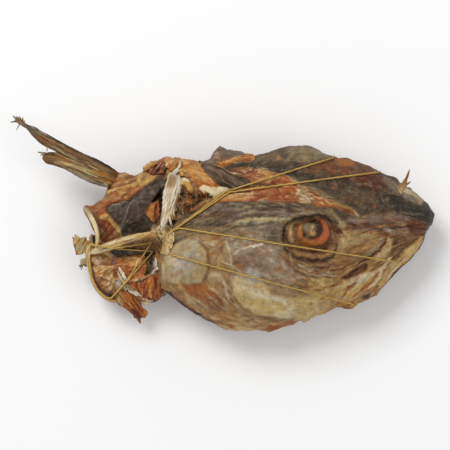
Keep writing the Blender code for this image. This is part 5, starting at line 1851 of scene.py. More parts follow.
NAPE_FOLD_MARKS = (
    Streak(MAUVE, 0.6, 0.4, 2.4, 3.6, ((-15, 50.6), (-9, 47), (-2, 43), (6, 38.4), (16, 35))),
    Streak(SOOT, 0.6, -0.4, 2, 3, ((-14, 45), (-8, 39), (0, 34), (9, 32.4), (20, 33))),
    Spot(OXIDE, 0.5, 0, 3, 25, 34, 9, 4), Streak(MOSS, 0.5, 0.3, 1.2, 1.6, ((-4, 47), (2, 44.6), (8, 41))),
    Scatter(70, 6, 1.4, (BARK, SOOT, FAWN, MOSS, HIDE), NAPE_FOLD_EDGE, 0.5, 0.3, 1.4, 10),
)


@dataclass
class Collar:
    """The collar of belly wall and gill behind the head, with its lining, bones and torn flesh.

    Attributes:
        around: Points round a ring of the skin.
        along: Rings of the skin from end to end.
        gill_threads: Torn filaments in the gill hollow.
        rays_across: Bony strips side by side.
        hairs: Frayed hairs along the strips.
    """

    around: int = 240
    along: int = 230
    gill_threads: int = 64
    rays_across: int = 8
    hairs: int = 26

    GILL = (-42, -12)  # where the gill hollow starts and ends in x
    GILL_HEIGHT = 66  # where nothing lies under a filament
    TOP_HAIR = (-36.6, 34)  # x and y of the uppermost hair

    def filaments(self, ground: Ground) -> list[Strip]:
        """Torn gill filaments that lie in the hollow.

        Args:
            ground: What they lie on.

        Returns:
            The filaments.
        """
        draw = random.Random(12)
        tints = (TAN, FAWN, UMBER, LIVER, HUSK, RUST, SOOT)
        made = []
        for k in range(self.gill_threads):
            x = draw.uniform(*self.GILL)
            climb = (x - self.GILL[0]) * 0.36
            y = 8 + climb + draw.uniform(0, 1) * (19 - climb)
            lean, bend, length = math.radians(draw.uniform(10, 130)), draw.uniform(-0.8, 0.8), draw.uniform(3, 8)
            spine = []
            for t, width in ((0, 1.0), (0.5, 0.7), (1, 0.3)):
                px = x + math.cos(lean + bend * t) * length * (t - 0.5)
                py = y + math.sin(lean + bend * t) * length * (t - 0.5)
                spine.append((px, py, (ground.top(px, py) or self.GILL_HEIGHT) + 0.2 + 1.6 * t, width, width, 0.0))
            made.append(Strip(tuple(spine), (draw.choice(tints),), around=6, along=8, seed=k, ridge=0.05))
        return made

    def rays(self) -> list[Strip]:
        """The pale bony strips that cross the collar, and the frayed hairs along their right edge.

        Returns:
            The strips and the hairs.
        """
        draw = random.Random(31)
        made = []
        for k in range(self.rays_across):
            across = -0.9 + 1.8 * k / (self.rays_across - 1)
            spine = tuple(
                (x + across * half + draw.uniform(-0.5, 0.5), y + draw.uniform(-1.5, 1.5),
                 z + 0.8 - across**2 + draw.uniform(-0.3, 0.4), half * 0.34 + draw.uniform(0.2, 0.9), 1.0,
                 draw.uniform(-12, 12))
                for y, x, half, z in RAY_COURSE
            )
            tints = draw.choice(RAY_TINTS)
            made.append(Strip(spine, tints, None, 10, 60, 0.1, 0.12, 1.1, ragged=0.3, seed=40 + k))
        top_x, top_y = self.TOP_HAIR
        for k in range(self.hairs):
            y = top_y - k * 1.25 + draw.uniform(-1, 1)
            x = top_x - (top_y - y) * 0.26 + draw.uniform(-1.2, 0.4)
            reach = draw.uniform(3, 7)
            spine = (
                (x - 0.6, y + reach * 0.7, 71.4, 1.1, 0.8, 0),
                (x + 0.6, y, 71, 1.0, 0.7, 0),
                (x + 1.2 + draw.uniform(0, 2.0), y - reach, 69, 0.35, 0.35, 0),
            )
            tint = draw.choice((BONE, CREAM, PEARL, CHALK))
            made.append(Strip(spine, (tint, tint, TAN), around=6, along=10, seed=70 + k, ridge=0.05))
        return made

    def torn_top(self, ground: Ground) -> list[Flake]:
        """The torn flesh along the top edge.

        Args:
            ground: The skin that it lies on.

        Returns:
            The flakes of flesh.
        """
        return [
            Flake(BUFF_TEAR_EDGE, 1.2, HONEY, thickness=3, dome=1.8, ground=ground, grain=35, fibre=(0.14, 0.3),
                seed=24, torn=1.1, marks=BUFF_TEAR_MARKS),
            Flake(RED_TEAR_EDGE, 1.0, OXIDE, thickness=2.4, dome=1.6, ground=ground, grain=50, fibre=(0.16, 0.45),
                crease=0.9, seed=25, torn=1.3, gloss=0.2, marks=RED_TEAR_MARKS),
            Flake(PALE_TEAR_EDGE, 1.2, TAN, thickness=2.4, dome=1.6, ground=ground, grain=70, fibre=(0.14, 0.4),
                crease=0.9, seed=26, torn=1.3, marks=PALE_TEAR_MARKS),
            Flake(GLOSSY_LOBE_EDGE, 1.4, HONEY, thickness=3, dome=2.4, ground=ground, grain=-60, fibre=(0.07, 0.2),
                gloss=0.35, seed=27, torn=0.5, marks=GLOSSY_LOBE_MARKS),
            Flake(((-38, 46), (-34, 47), (-31, 44), (-29.4, 40), (-32, 40.4), (-36, 41)), 1.0, HONEY, thickness=2,
                dome=1.4, ground=ground, grain=-40, fibre=(0.12, 0.3), seed=28, torn=1.0, marks=SMALL_TEAR_MARKS),
        ]

    def pale_films(self, ground: Ground) -> list[Flake]:
        """Pale dried films and the plate under the bony strips.

        Args:
            ground: The skin that the films lie on.

        Returns:
            The films and the plate.
        """
        return [
            Flake(RAY_PLATE_EDGE, 71, PEARL, (0.05, 0.12), 1.8, 1.8, marks=RAY_PLATE_MARKS, grain=73,
                fibre=(0.12, 0.25), seed=20, around=150, along=64, torn=0.8),
            Flake(RAY_HEAD_FILM_EDGE, 1.8, PEARL, thickness=1, dome=1.2, ground=ground, grain=40, fibre=(0.06, 0.2),
                gloss=0.4, seed=21, torn=0.8, marks=(Spot(ASH, 0.7, 0, 2, -43, 42, 7, 4, 40),)),
            Flake(((-49.4, 51.4), (-47, 52.6), (-45.6, 50), (-46.6, 47.6), (-48.6, 48)), 2.6, PEARL, thickness=1,
                dome=0.6, ground=ground, seed=22, gloss=0.2),
            Flake(RIGHT_FILM_EDGE, 1.8, CREAM, thickness=1.2, dome=0.8, ground=ground, grain=-20, seed=23, torn=0.8,
                marks=(Spot(PEARL, 0.8, 0.3, 1.6, -34, 36.4, 5, 3),)),
        ]

    def straps(self, ground: Ground) -> list[Form]:
        """The sinews of the throat and the knot of tissue where they meet.

        Args:
            ground: The skins that the knot lies on.

        Returns:
            The strap, the fold at the left and the knot.
        """
        strap = Strip(STRAP_SPINE, (CREAM, BONE, CREAM, STRAW, STRAW, HONEY, TAN), UMBER, 40, 130, ridge=0.45,
            pitch=1.3, fibre=0.2, seed=51, marks=STRAP_MARKS)
        fold = Strip(LEFT_FOLD_SPINE, (HUSK, HUSK, BONE, BONE, CREAM, BONE), FAWN, 26, 70, ridge=0.3, pitch=1.2,
            seed=52)
        knot = Flake(KNOT_EDGE, 1.0, CREAM, thickness=2, dome=1.2, ground=ground, grain=-60, fibre=(0.14, 0.4),
            crease=0.8, seed=53, around=110, along=50, torn=1.2, marks=KNOT_MARKS)
        return [strap, fold, knot]

    def build(self, head: Pieces) -> Pieces:
        """Make the collar and all that is torn or folded on it.

        Args:
            head: The pieces of the head.

        Returns:
            The pieces of the collar.
        """
        skin = Loft(COLLAR_SECTIONS, self.around, self.along, UMBER, COLLAR_MARKS, COLLAR_FLOW, 23, COLLAR_FAR_EDGE,
            under=BARK, bright=1.03)
        made = [fish_piece("collar_skin", [skin], FLESH)]
        skin_only, both = Ground(made), Ground(made + head[:1])
        made.append(fish_piece("collar_flesh_scraps", self.torn_top(skin_only), FLESH))
        films = self.rays() + self.pale_films(skin_only)
        made.append(fish_piece("collar_pale_flakes", films, FIBRE))
        made.append(fish_piece("gill_filaments", self.filaments(both), FLESH))
        fold = Flake(NAPE_FOLD_EDGE, 0.7, HIDE, thickness=1.2, dome=1.4, ground=both, grain=-32, fibre=(0.12, 0.3),
            crease=0.6, around=90, along=40, seed=33, torn=0.9, marks=NAPE_FOLD_MARKS)
        made.append(fish_piece("nape_fold", [fold], SKIN))
        made.append(fish_piece("throat_straps", self.straps(both), FIBRE))
        return made


# ---------------------------------------------------------------- the throat pouch

POUCH_SECTIONS = (
    Section(-118.5, -22, -26, -24, 25, 24, 23),
    Section(-116, -14, -40, -28, 32, 22, 8),
    Section(-109, -14, -56, -36, 36, 22, 4),
    Section(-98, -14, -65, -40, 37, 22, 1),
    Section(-85, -12, -66, -40, 38, 22, 0),
    Section(-70, -12, -67, -42, 40, 22, 0),
    Section(-58, -14, -65, -42, 42, 24, 0),
    Section(-50, -20, -56, -40, 43, 26, 2),
    Section(-40, -30, -46, -38, 40, 36, 32),
)
POUCH_NEAR_EDGE = (
    (-118.4, -28), (-117.5, -33), (-116, -38), (-114.6, -43), (-113, -48), (-111, -53.4), (-109, -56.6),
    (-105, -60.4), (-101, -63.6), (-97, -66), (-93, -67), (-89, -67.4), (-84, -66), (-78, -65.6), (-72, -66.6),
    (-68, -68.2), (-63, -67), (-58.6, -66.2), (-55.6, -65), (-53.4, -62.6), (-50.6, -61), (-49, -58.6), (-47, -54),
    (-44, -50),
)
POUCH_FLOW = Flow(
    (
        Grain(-105, -32, 10, 12), Grain(-103, -45, 40, 12), Grain(-90, -45, 118, 10), Grain(-80, -34, 20, 12),
        Grain(-70, -40, 50, 12), Grain(-66, -54, 78, 12), Grain(-54, -52, 82, 12), Grain(-78, -54, -30, 10),
        Grain(-60, -30, 80, 10), Grain(-80, -22, 4, 10),
    )
)
POUCH_MARKS = (
    Area(TAN, 0.85, 0, 3, ((-116, -22), (-112, -20), (-100, -22), (-94, -25), (-92, -34), (-96, -38), (-106, -38),
        (-112, -40)), gloss=0.3),
    Spot(DOVE, 0.8, 1.2, 3, -106, -32, 10, 8, -50, gloss=0.4), Spot(UMBER, 0.6, -0.8, 2.5, -101, -30, 7, 10),
    # the ASH spot is a painted bluish sheen on the dark glossy WINE spot below it
    Spot(ASH, 0.8, 0.8, 2, -94, -27.5, 9, 4, -20, gloss=0.7),
    Spot(WINE, 0.85, -0.5, 2, -92.6, -31.5, 5, 9, 20, gloss=0.8), Spot(TAN, 0.7, 0.7, 2.5, -98, -36, 12, 4, 10),
    Streak(LIVER, 0.6, -0.7, 1.4, 2, ((-104, -34), (-98, -33.6), (-93, -34.6))),
    # the brown lump inside the rim
    Area(FAWN, 0.9, 1.8, 2.5, ((-110, -38), (-104, -37), (-97, -38), (-93, -42), (-93, -49), (-95, -55), (-99, -58),
        (-104, -56), (-108, -50), (-110.5, -44))),
    Spot(ORANGE, 0.6, 0.5, 3, -104, -41, 11, 5, 10),
    Streak(CREAM, 0.5, 0.8, 1.4, 2, ((-106, -42), (-101, -46), (-97, -46), (-94, -44)), ragged=1.4),
    Streak(HONEY, 0.5, 0.7, 1.4, 2, ((-108, -47), (-103, -50), (-98, -50.6), (-95, -48)), ragged=1.4),
    Streak(OXIDE, 0.6, -0.6, 1, 1.6, ((-105, -45.4), (-100, -47.6), (-95.6, -46)), ragged=1.2),
    Streak(BARK, 0.7, -0.8, 1.2, 2, ((-97, -52), (-95, -48), (-94.6, -43))),
    Streak(CREAM, 0.6, 0.6, 1, 1.4, ((-96, -41), (-94, -46), (-92.6, -51)), ragged=1),
    Streak(LIVER, 0.9, -3.4, 2, 4.4, ((-112, -34), (-112.5, -42), (-110, -50), (-106, -57), (-100, -61.6),
        (-94, -63)), taper=0.3),
    Streak(MAUVE, 0.7, 0.6, 1.5, 2.4, ((-112.6, -30), (-112.6, -38), (-111.4, -44))),
    # the ASH spot is a painted grey-blue sheen
    Spot(PITCH, 0.7, -1, 2, -97.5, -60, 8, 3, -24), Spot(ASH, 0.9, 0.5, 1.4, -89.6, -50, 5, 9, 8, gloss=0.5),
    Streak(OXIDE, 0.8, -1.0, 1.6, 3, ((-92.6, -36), (-91.6, -43), (-91.6, -48))),
    # flesh under the strands
    Area(RUST, 0.85, 0, 2.5, ((-92, -27), (-84, -27), (-76, -26), (-68, -27), (-64, -33), (-66, -42), (-68, -47),
        (-76, -47), (-82, -49), (-88, -42), (-90, -36))),
    Spot(BARK, 0.7, -1.0, 3, -84, -28, 20, 6), Spot(HONEY, 0.9, 1.2, 3, -75, -32, 14, 10, -30),
    Spot(BONE, 0.7, 0.5, 1.4, -72.5, -31.5, 7, 3, 60), Spot(AMBER, 0.6, 0.5, 2, -88, -31, 4, 8, 20),
    # the hollow under the strap
    # the first PITCH area and the SOOT streak below are painted shade in the hollow under the strap
    Area(PITCH, 0.96, -5.5, 2.4, ((-96, -22), (-90, -19), (-80, -15), (-70, -12), (-61, -13), (-59, -20), (-60, -25),
        (-66, -25), (-76, -24.6), (-86, -25), (-92, -26)), ragged=0.6, gloss=0.2),
    Spot(BARK, 0.6, 0, 2, -76, -22.5, 12, 3, -4),
    Streak(SOOT, 0.8, -1, 2, 4, ((-92, -25), (-85, -25.6), (-78, -24.6))),
    Area(PITCH, 0.92, -3.0, 2, ((-66, -25), (-60, -24), (-58.6, -30), (-60, -38), (-63, -43), (-67, -43), (-65, -36)),
        ragged=0.8),
    Streak(MOSS, 0.5, 0.6, 1.2, 1.8, ((-65, -28), (-63, -34), (-64, -40)), ragged=1),
    Streak(BARK, 0.8, 1.6, 1.2, 2.2, ((-60, -25), (-59.6, -31), (-60.6, -38))),
    # the lower lobes
    Streak(FAWN, 0.9, 1.4, 1.2, 2.4, ((-82, -49), (-76, -47.6), (-70, -46.6), (-66, -44), (-61, -42))),
    Streak(LIVER, 0.7, -0.8, 1.2, 1.8, ((-80, -49.6), (-72, -48.6), (-66, -46.6), (-61, -44))),
    Area(OXIDE, 0.92, 1.6, 2, ((-81, -50), (-72, -49.6), (-66, -47.4), (-60, -43.6), (-54, -43), (-50, -46),
        (-48, -56), (-54, -62), (-62, -64), (-72, -62), (-78, -57))),
    Spot(ORANGE, 0.6, 0.5, 3, -62, -49, 5, 12, -6),
    Streak(STRAW, 0.95, 1.0, 1.2, 2.8, ((-62.4, -55), (-62.6, -59), (-62.2, -63))),
    Streak(LIVER, 0.75, -1.0, 1.4, 2.4, ((-57, -44), (-57.6, -52), (-56.6, -61))),
    Streak(OXIDE, 0.7, 0.8, 1.4, 2.6, ((-54.6, -44), (-54, -52), (-55, -60))),
    Streak(LIVER, 0.95, -0.8, 1.6, 4, ((-52, -42), (-51.4, -50), (-52, -58)), taper=0.3),
    Streak(CREAM, 0.85, 0.8, 1.2, 2, ((-49.6, -48), (-49, -54), (-50.6, -60), (-54, -63))),
    Area(BONE, 0.85, 0.8, 1.6, ((-80, -59), (-70, -61.4), (-62, -64), (-58, -67), (-66, -69), (-72, -67),
        (-80, -64))),
    Streak(OXIDE, 0.6, -0.5, 1.2, 1.6, ((-76, -62), (-70, -65), (-64, -66))),
    Streak(WINE, 0.8, -0.8, 1.2, 1.8, ((-74, -59), (-67, -61.4), (-60, -64), (-56, -65))),
    # painted shade along the pouch's lower edge, where the flesh turns under
    Streak(PITCH, 0.95, 0, 1.4, 3.6, ((-62, -67.6), (-57, -66.6), (-53, -64), (-48, -60)), taper=0.2),
    # the strip beside the head
    Area(TAN, 0.92, 2.0, 1.4, ((-59, -18), (-56, -17), (-53, -26), (-51.6, -34), (-52, -42), (-54, -44), (-56, -36),
        (-57, -28))),
    Streak(RUST, 0.7, 0.6, 1.2, 2, ((-57.6, -20), (-55, -28), (-53.6, -36))),
    Streak(CREAM, 0.5, 0.5, 1.2, 1.8, ((-52.6, -26), (-52, -33), (-52.6, -40))),
    Spot(ASH, 0.9, 1.2, 1.4, -57.6, -34, 4, 9, 10, gloss=0.3),
    Spot(CHALK, 0.8, 0.8, 1.2, -58.6, -40, 2.6, 5, -30, gloss=0.3),
    Scatter(70, 5, 1.5, (CREAM, RUST, LIVER, TAN, ORANGE), ((-112, -24), (-96, -26), (-92, -40), (-94, -56),
        (-104, -58), (-110, -44)), 0.5, 0.6, 1.2, 50),
    Scatter(50, 5, 1.4, (HONEY, RUST, CREAM, LIVER), ((-90, -28), (-74, -27), (-66, -30), (-68, -46), (-84, -46)),
        0.5, 0.6, 1.2, 45),
    Scatter(60, 6, 1.3, (RUST, LIVER, ORANGE, TAN), ((-80, -50), (-64, -48), (-52, -44), (-50, -58), (-64, -64),
        (-76, -60)), 0.45, 0.5, 1.1, 14),
)
# Bones and sinews in the pouch: colour, second colour, run of the fibres, height above the flesh, and edge
SLIVERS = (
    (CHALK, ASH, -56, 1.8, ((-90, -36.4), (-88, -36.8), (-85.6, -40.4), (-83, -44.6), (-81.8, -48), (-83.6, -48.4),
        (-86, -45), (-88.2, -41))),
    (CREAM, UMBER, -52, 1.6, ((-90.8, -41), (-89, -41.4), (-86, -46), (-83, -50.4), (-82.2, -53), (-84, -52.8),
        (-87, -49.4), (-89.4, -45))),
    (PEARL, UMBER, -30, 1.8, ((-83, -51.4), (-80.4, -52), (-77, -55), (-73, -57.6), (-69, -61.4), (-72.6, -61),
        (-76.4, -60.4), (-80, -58.4), (-82.4, -55))),
    (CREAM, TAN, -80, 1.4, ((-86, -49), (-84, -51), (-82.4, -56), (-81.6, -60.6), (-83.4, -60), (-85, -55))),
    (PEARL, ASH, -95, 2.2, ((-58.6, -27), (-57, -28.4), (-56.2, -32), (-56.8, -36.4), (-58.2, -35), (-58.4, -31))),
    (CHALK, DOVE, -130, 2.2, ((-56, -35.4), (-55, -37.4), (-58, -40), (-61.4, -42.4), (-60.4, -38.6), (-58, -37))),
)
POUCH_RIM_SPINE = (
    (-111, -15.6, 38, 4, 4, 0), (-114.6, -20, 37, 4.2, 4.4, 0), (-115.4, -26, 36, 3.8, 4.6, 0),
    (-114.8, -33, 35, 3.4, 4.6, 0), (-113.6, -40, 34, 3.2, 4.4, 0), (-112, -47, 33, 2.9, 4.2, 0),
    (-109.4, -53.6, 32, 2.8, 4, 0), (-105.4, -58.6, 32, 2.8, 4, 0), (-100.6, -62.6, 32, 2.9, 4, 0),
    (-96, -65, 32, 2.9, 4, 0), (-92, -65.6, 32, 2.6, 3.6, 0), (-89, -63, 33, 1.6, 2.6, 0),
)
THROAT_TAB_EDGE = (
    (-90, -59), (-91, -66), (-88.6, -69.5), (-84, -72), (-80, -76), (-77.4, -77.8), (-76.8, -80.6), (-75, -80.4),
    (-73.8, -83), (-72.6, -85.2), (-71, -84.6), (-71, -81), (-69, -80), (-67.6, -80.5), (-66.6, -78.6), (-65.4, -78),
    (-65.2, -75), (-67, -73), (-69.4, -71), (-70.4, -68), (-73, -63), (-79, -59), (-86, -57),
)
THROAT_TAB_MARKS = (
    Area(TAN, 0.8, 0.5, 2, ((-90, -60), (-90.6, -68), (-86, -70), (-84, -62), (-86, -58))),
    Streak(CREAM, 0.5, 0.4, 1.4, 2.2, ((-88.6, -61), (-88.6, -66), (-86, -70))),
    Spot(AMBER, 0.5, 0.4, 4, -82, -66, 16, 7, -55),
    Streak(ORANGE, 0.5, 0.4, 1.5, 2.4, ((-82, -60), (-78, -66), (-74, -71))),
    Streak(UMBER, 0.5, -0.4, 1.5, 2.4, ((-78, -61), (-74, -66), (-71, -70))),
    Spot(WINE, 0.85, 0, 3, -76, -76, 8, 6, -40), Spot(LIVER, 0.5, 0, 3, -72, -79.6, 7, 6, -60),
    Spot(AMBER, 0.9, 0, 1.8, -66.5, -76, 4, 6), Spot(ORANGE, 0.6, 0, 1.8, -68.6, -77.6, 4, 6),
)
LEFT_FLAP_EDGE = (
    (-129.8, -10.6), (-128.6, -10.2), (-127, -12), (-127.8, -8), (-125, -9.6), (-122, -11.4), (-119.6, -10.6),
    (-117.2, -11), (-116.8, -13), (-114, -15.4), (-113.6, -20), (-116.6, -22.8), (-119, -24.2), (-122, -25.6),
    (-125.4, -26.2), (-126.4, -25), (-127.2, -21), (-128.8, -18), (-128.8, -14),
)
LEFT_FLAP_MARKS = (
    Streak(UMBER, 0.8, 0, 1.2, 2.2, ((-129.4, -11), (-128.4, -17), (-126.6, -22), (-125.6, -25.6)), taper=0.2),
    Spot(HONEY, 0.85, 0.4, 2.5, -125.4, -14.6, 6, 7),
    Streak(UMBER, 0.45, -0.4, 1.2, 1.6, ((-124, -12), (-120, -17), (-118, -22))),
    Area(AMBER, 0.7, 0, 1.8, ((-119, -11), (-114, -15), (-116, -18), (-119, -15))),
    Streak(BONE, 0.5, 0.4, 1.4, 2, ((-127, -9), (-124, -11.6), (-121, -15))), Spot(HONEY, 0.6, 0, 2, -124, -24, 5, 3),
)
CORNER_SCRAP_EDGE = (
    (-114.4, -10.6), (-112, -8), (-111, -9.4), (-108.4, -9), (-108.4, -16), (-112, -17.6), (-114.6, -15),
)
CORNER_SCRAP_MARKS = (Streak(PITCH, 0.9, 0, 1, 2.2, ((-110.6, -9.6), (-110.6, -16))),)
TUFTS_EDGE = (
    (-124.6, -35.6), (-123, -33.6), (-119.6, -33.4), (-118.6, -29), (-117, -27), (-115, -28), (-115.4, -35),
    (-118, -36.4), (-118.8, -36), (-120.4, -34.6), (-122, -35), (-121.4, -38.6), (-123.6, -38.4),
)
TUFTS_MARKS = (Spot(PITCH, 0.9, 0, 1.2, -122.5, -37.5, 4, 3), Spot(PITCH, 0.9, 0, 1, -118, -35.8, 3.4, 1.8),)


@dataclass
class Pouch:
    """The throat pouch: a rim of sinew round a hollow with dried flesh, and the scraps that hang from it.

    Attributes:
        around: Points round a ring of the flesh.
        along: Rings of the flesh from end to end.
    """

    around: int = 210
    along: int = 170

    def slivers(self, ground: Ground) -> list[Flake]:
        """White bones and torn white sinews.

        Args:
            ground: The flesh that they lie on.

        Returns:
            The slivers.
        """
        return [
            Flake(edge, level, tint, thickness=1.2, dome=0.8, curl=0.3, ground=ground, grain=grain, fibre=(0.1, 0.25),
                crease=0.4, around=54, along=24, gloss=0.25, seed=61 + k, torn=0.7,
                marks=(Scatter(10, 5, 0.9, (other, CHALK), edge, 0.5, 0.2, 0.8, 10),))
            for k, (tint, other, grain, level, edge) in enumerate(SLIVERS)
        ]

    def build(self) -> Pieces:
        """Make the pouch, its rim and its scraps.

        Returns:
            The pieces of the pouch.
        """
        skin = Loft(POUCH_SECTIONS, self.around, self.along, UMBER, POUCH_MARKS, POUCH_FLOW, 37, (), POUCH_NEAR_EDGE,
            under=BARK, bright=1.13)
        made = [fish_piece("pouch_flesh", [skin], FLESH)]
        rim = Strip(POUCH_RIM_SPINE, (HUSK, BONE, STRAW, HONEY, STRAW, HONEY, HONEY, TAN), TAN, 22, 150, 0.12, 0.2,
            0.9, ragged=0.16, gloss=0.15, seed=71)
        made.append(fish_piece("pouch_rim", [rim], FIBRE))
        slivers = self.slivers(Ground(made[:1]))
        made.append(fish_piece("pouch_white_slivers", slivers, FIBRE))
        tab = Flake(THROAT_TAB_EDGE, 26, RUST, (-0.25, 0.72), 3.2, 1.6, 0.6, grain=-52, fibre=(0.14, 0.35),
            around=110, along=44, seed=72, gloss=0.15, torn=0.5, marks=THROAT_TAB_MARKS)
        flap = Flake(LEFT_FLAP_EDGE, 26, HUSK, (0.1, 0.02), 2.4, 1.0, 1.4, grain=64, fibre=(0.12, 0.25), around=80,
            along=34, seed=73, torn=0.4, marks=LEFT_FLAP_MARKS)
        scrap = Flake(CORNER_SCRAP_EDGE, 36, FAWN, (0.1, 0), 2, 0.6, 0.4, grain=90, seed=74, around=40, along=20,
            marks=CORNER_SCRAP_MARKS)
        tufts = Flake(TUFTS_EDGE, 22, HUSK, (0.25, 0), 2, 0.6, 0.5, grain=20, seed=75, around=60, along=22,
            marks=TUFTS_MARKS)
        made.append(fish_piece("pouch_hanging_scraps", [tab, flap, scrap, tufts], FLESH))
        return made


# ---------------------------------------------------------------- the fin

FIN_MARKS = (
    Streak(SOOT, 0.9, -0.4, 1.4, 3.4, ((-88, 45.6), (-100, 50), (-120, 60.4), (-140, 71), (-151, 77), (-158, 81)),
        taper=0.1),
    Streak(DOVE, 0.6, 0, 1.4, 2.4, ((-150, 75.6), (-156, 79.6), (-161, 83.6), (-165, 84.6))),
    Streak(OXIDE, 0.6, -0.3, 2, 3, ((-134, 61.6), (-144, 67), (-154, 73), (-161, 79))),
    Streak(LIVER, 0.55, -0.3, 1.8, 3, ((-122, 56), (-134, 62.6), (-146, 69))),
    Streak(HUSK, 0.7, 0.4, 1.2, 1.8, ((-150, 67.6), (-144, 65.6), (-138, 62.6), (-130, 58), (-122, 53.6))),
    Streak(HUSK, 0.5, 0.3, 1, 1.3, ((-148, 70.6), (-140, 66.6), (-130, 61))),
    Streak(BARK, 0.7, -0.5, 1.2, 1.8, ((-138, 60), (-130, 55.6), (-120, 50.6), (-110, 46))),
    Streak(AMBER, 0.7, 0.3, 2, 4, ((-148, 58), (-140, 57), (-130, 53), (-118, 48))),
    Streak(CREAM, 0.8, 0.4, 2, 4, ((-144, 53.4), (-134, 51), (-126, 49), (-116, 46))),
    Streak(BONE, 0.5, 0.3, 1.2, 1.8, ((-128, 53.6), (-122, 51), (-114, 47.6))),
    Spot(AMBER, 0.9, 0.4, 5, -102, 42, 22, 13, -20), Spot(HONEY, 0.6, 0.3, 3, -100, 36.6, 9, 5, -10),
    Spot(BARK, 0.85, 0, 3, -94, 42.5, 9, 6, -30), Spot(MOSS, 0.5, 0, 3, -122, 44, 20, 5, -24),
    Streak(DOVE, 0.9, -0.4, 1.2, 2.6, ((-131, 45), (-124, 43), (-119, 39.6), (-110, 36), (-101, 31.4)), taper=0.1),
    Streak(HONEY, 0.6, 0.3, 1.2, 2, ((-118, 40.6), (-108, 37), (-101, 33.4))),
    Spot(SOOT, 0.8, -0.4, 1.8, -149, 60, 12, 3, -8),
    Streak(BARK, 0.6, 0, 1.4, 1.8, ((-153, 52.6), (-146, 51), (-138, 48.6), (-130, 46.4))),
    Spot(FAWN, 0.7, 0, 2, -172, 87, 10, 6, -30), Spot(SLATE, 0.7, 0, 3, -160, 79, 12, 6, -34),
    Scatter(170, 15, 0.8, (BARK, HUSK, SOOT, UMBER, TAN, SLATE), ((-92, 34), (-96, 46), (-120, 60), (-150, 76),
        (-162, 82), (-150, 66), (-154, 56), (-130, 46), (-106, 36)), 0.4, 0.2, 0.8, 4),
)
UPPER_LOBE_SPINE = (
    (-82, 35, 22, 6, 7, 4), (-90, 38.6, 29, 10, 6, 6), (-98, 43.4, 37, 12, 5.4, 10), (-110, 49.8, 44.6, 13, 5, 12),
    (-120, 54.2, 47, 12.6, 4.6, 12), (-130, 60, 48.4, 11, 4.2, 12), (-140, 66, 49.8, 9.8, 4, 12),
    (-150, 71.2, 51.6, 10.6, 3.6, 12), (-157, 76, 53, 8.8, 3.4, 12), (-161.4, 79.8, 54, 7.4, 3.2, 12),
    (-165.4, 82.4, 55, 4.4, 3, 10), (-169.6, 84.8, 56, 4.2, 3, 8), (-173.6, 87.4, 57, 5.6, 2.6, 6),
    (-176.6, 88.6, 57.6, 3, 2, 0),
)
LOWER_LOBE_SPINE = (
    (-82, 31, 20, 5, 8, 4), (-92, 34.6, 30, 9, 6.5, 6), (-103, 38.8, 40, 12.4, 5.6, 8), (-115, 43.8, 44, 13.4, 5, 9),
    (-125, 49.2, 45.5, 13.6, 4.6, 9), (-135, 53.8, 46.6, 13, 4.2, 10), (-145, 56, 47.4, 11.4, 3.8, 10),
    (-151, 56.4, 47.6, 10.6, 3.6, 10), (-154, 56.2, 47.4, 6.5, 3, 8),
)
WEB_SPINE = (
    (-98, 33, 40, 5, 3, 0), (-106, 36, 41, 5.6, 2.6, 0), (-116, 39.6, 42, 5.6, 2.4, 0), (-124, 43.4, 42.6, 5, 2, 0),
    (-130.4, 45.2, 42.6, 2.6, 1.6, 0),
)
# Torn ends of the fin: root, bend and tip, and the width at the root; the lower lobe's come after UPPER_ENDS
UPPER_ENDS = 7
FRAYED_ENDS = (
    ((-173, 86.6, 57.6), (-177, 87, 57.8), (-180.6, 86.2, 58), 1.9),
    ((-173, 88, 57.6), (-176, 90, 58), (-178.4, 92.2, 58.4), 2.2),
    ((-171.6, 87.4, 57.6), (-173.6, 90, 58), (-175.6, 91.6, 58), 1.8),
    ((-170.6, 86.6, 57.4), (-171.6, 89.4, 58), (-172.8, 92, 58.4), 1.6),
    ((-169.4, 86, 57.4), (-169.8, 88.6, 58), (-169.8, 91, 58.2), 1.8),
    ((-168.6, 85, 57.4), (-168.2, 87, 57.8), (-168, 88.2, 58), 1.2),
    ((-172, 85.6, 57), (-173.2, 83.6, 56.6), (-175.6, 79.4, 56), 1.2),
    ((-150, 60.4, 48), (-154, 60.8, 48), (-158, 61.6, 48.2), 2.2),
    ((-150, 59.6, 48), (-153.6, 59.4, 47.6), (-155.6, 58.4, 47.4), 1.6),
    ((-150, 62, 48.6), (-149.6, 64, 49.6), (-148.8, 66.4, 50.6), 1.0),
    ((-158, 80, 56.4), (-162, 82.4, 57.4), (-165, 83.4, 57.4), 2.0),
)


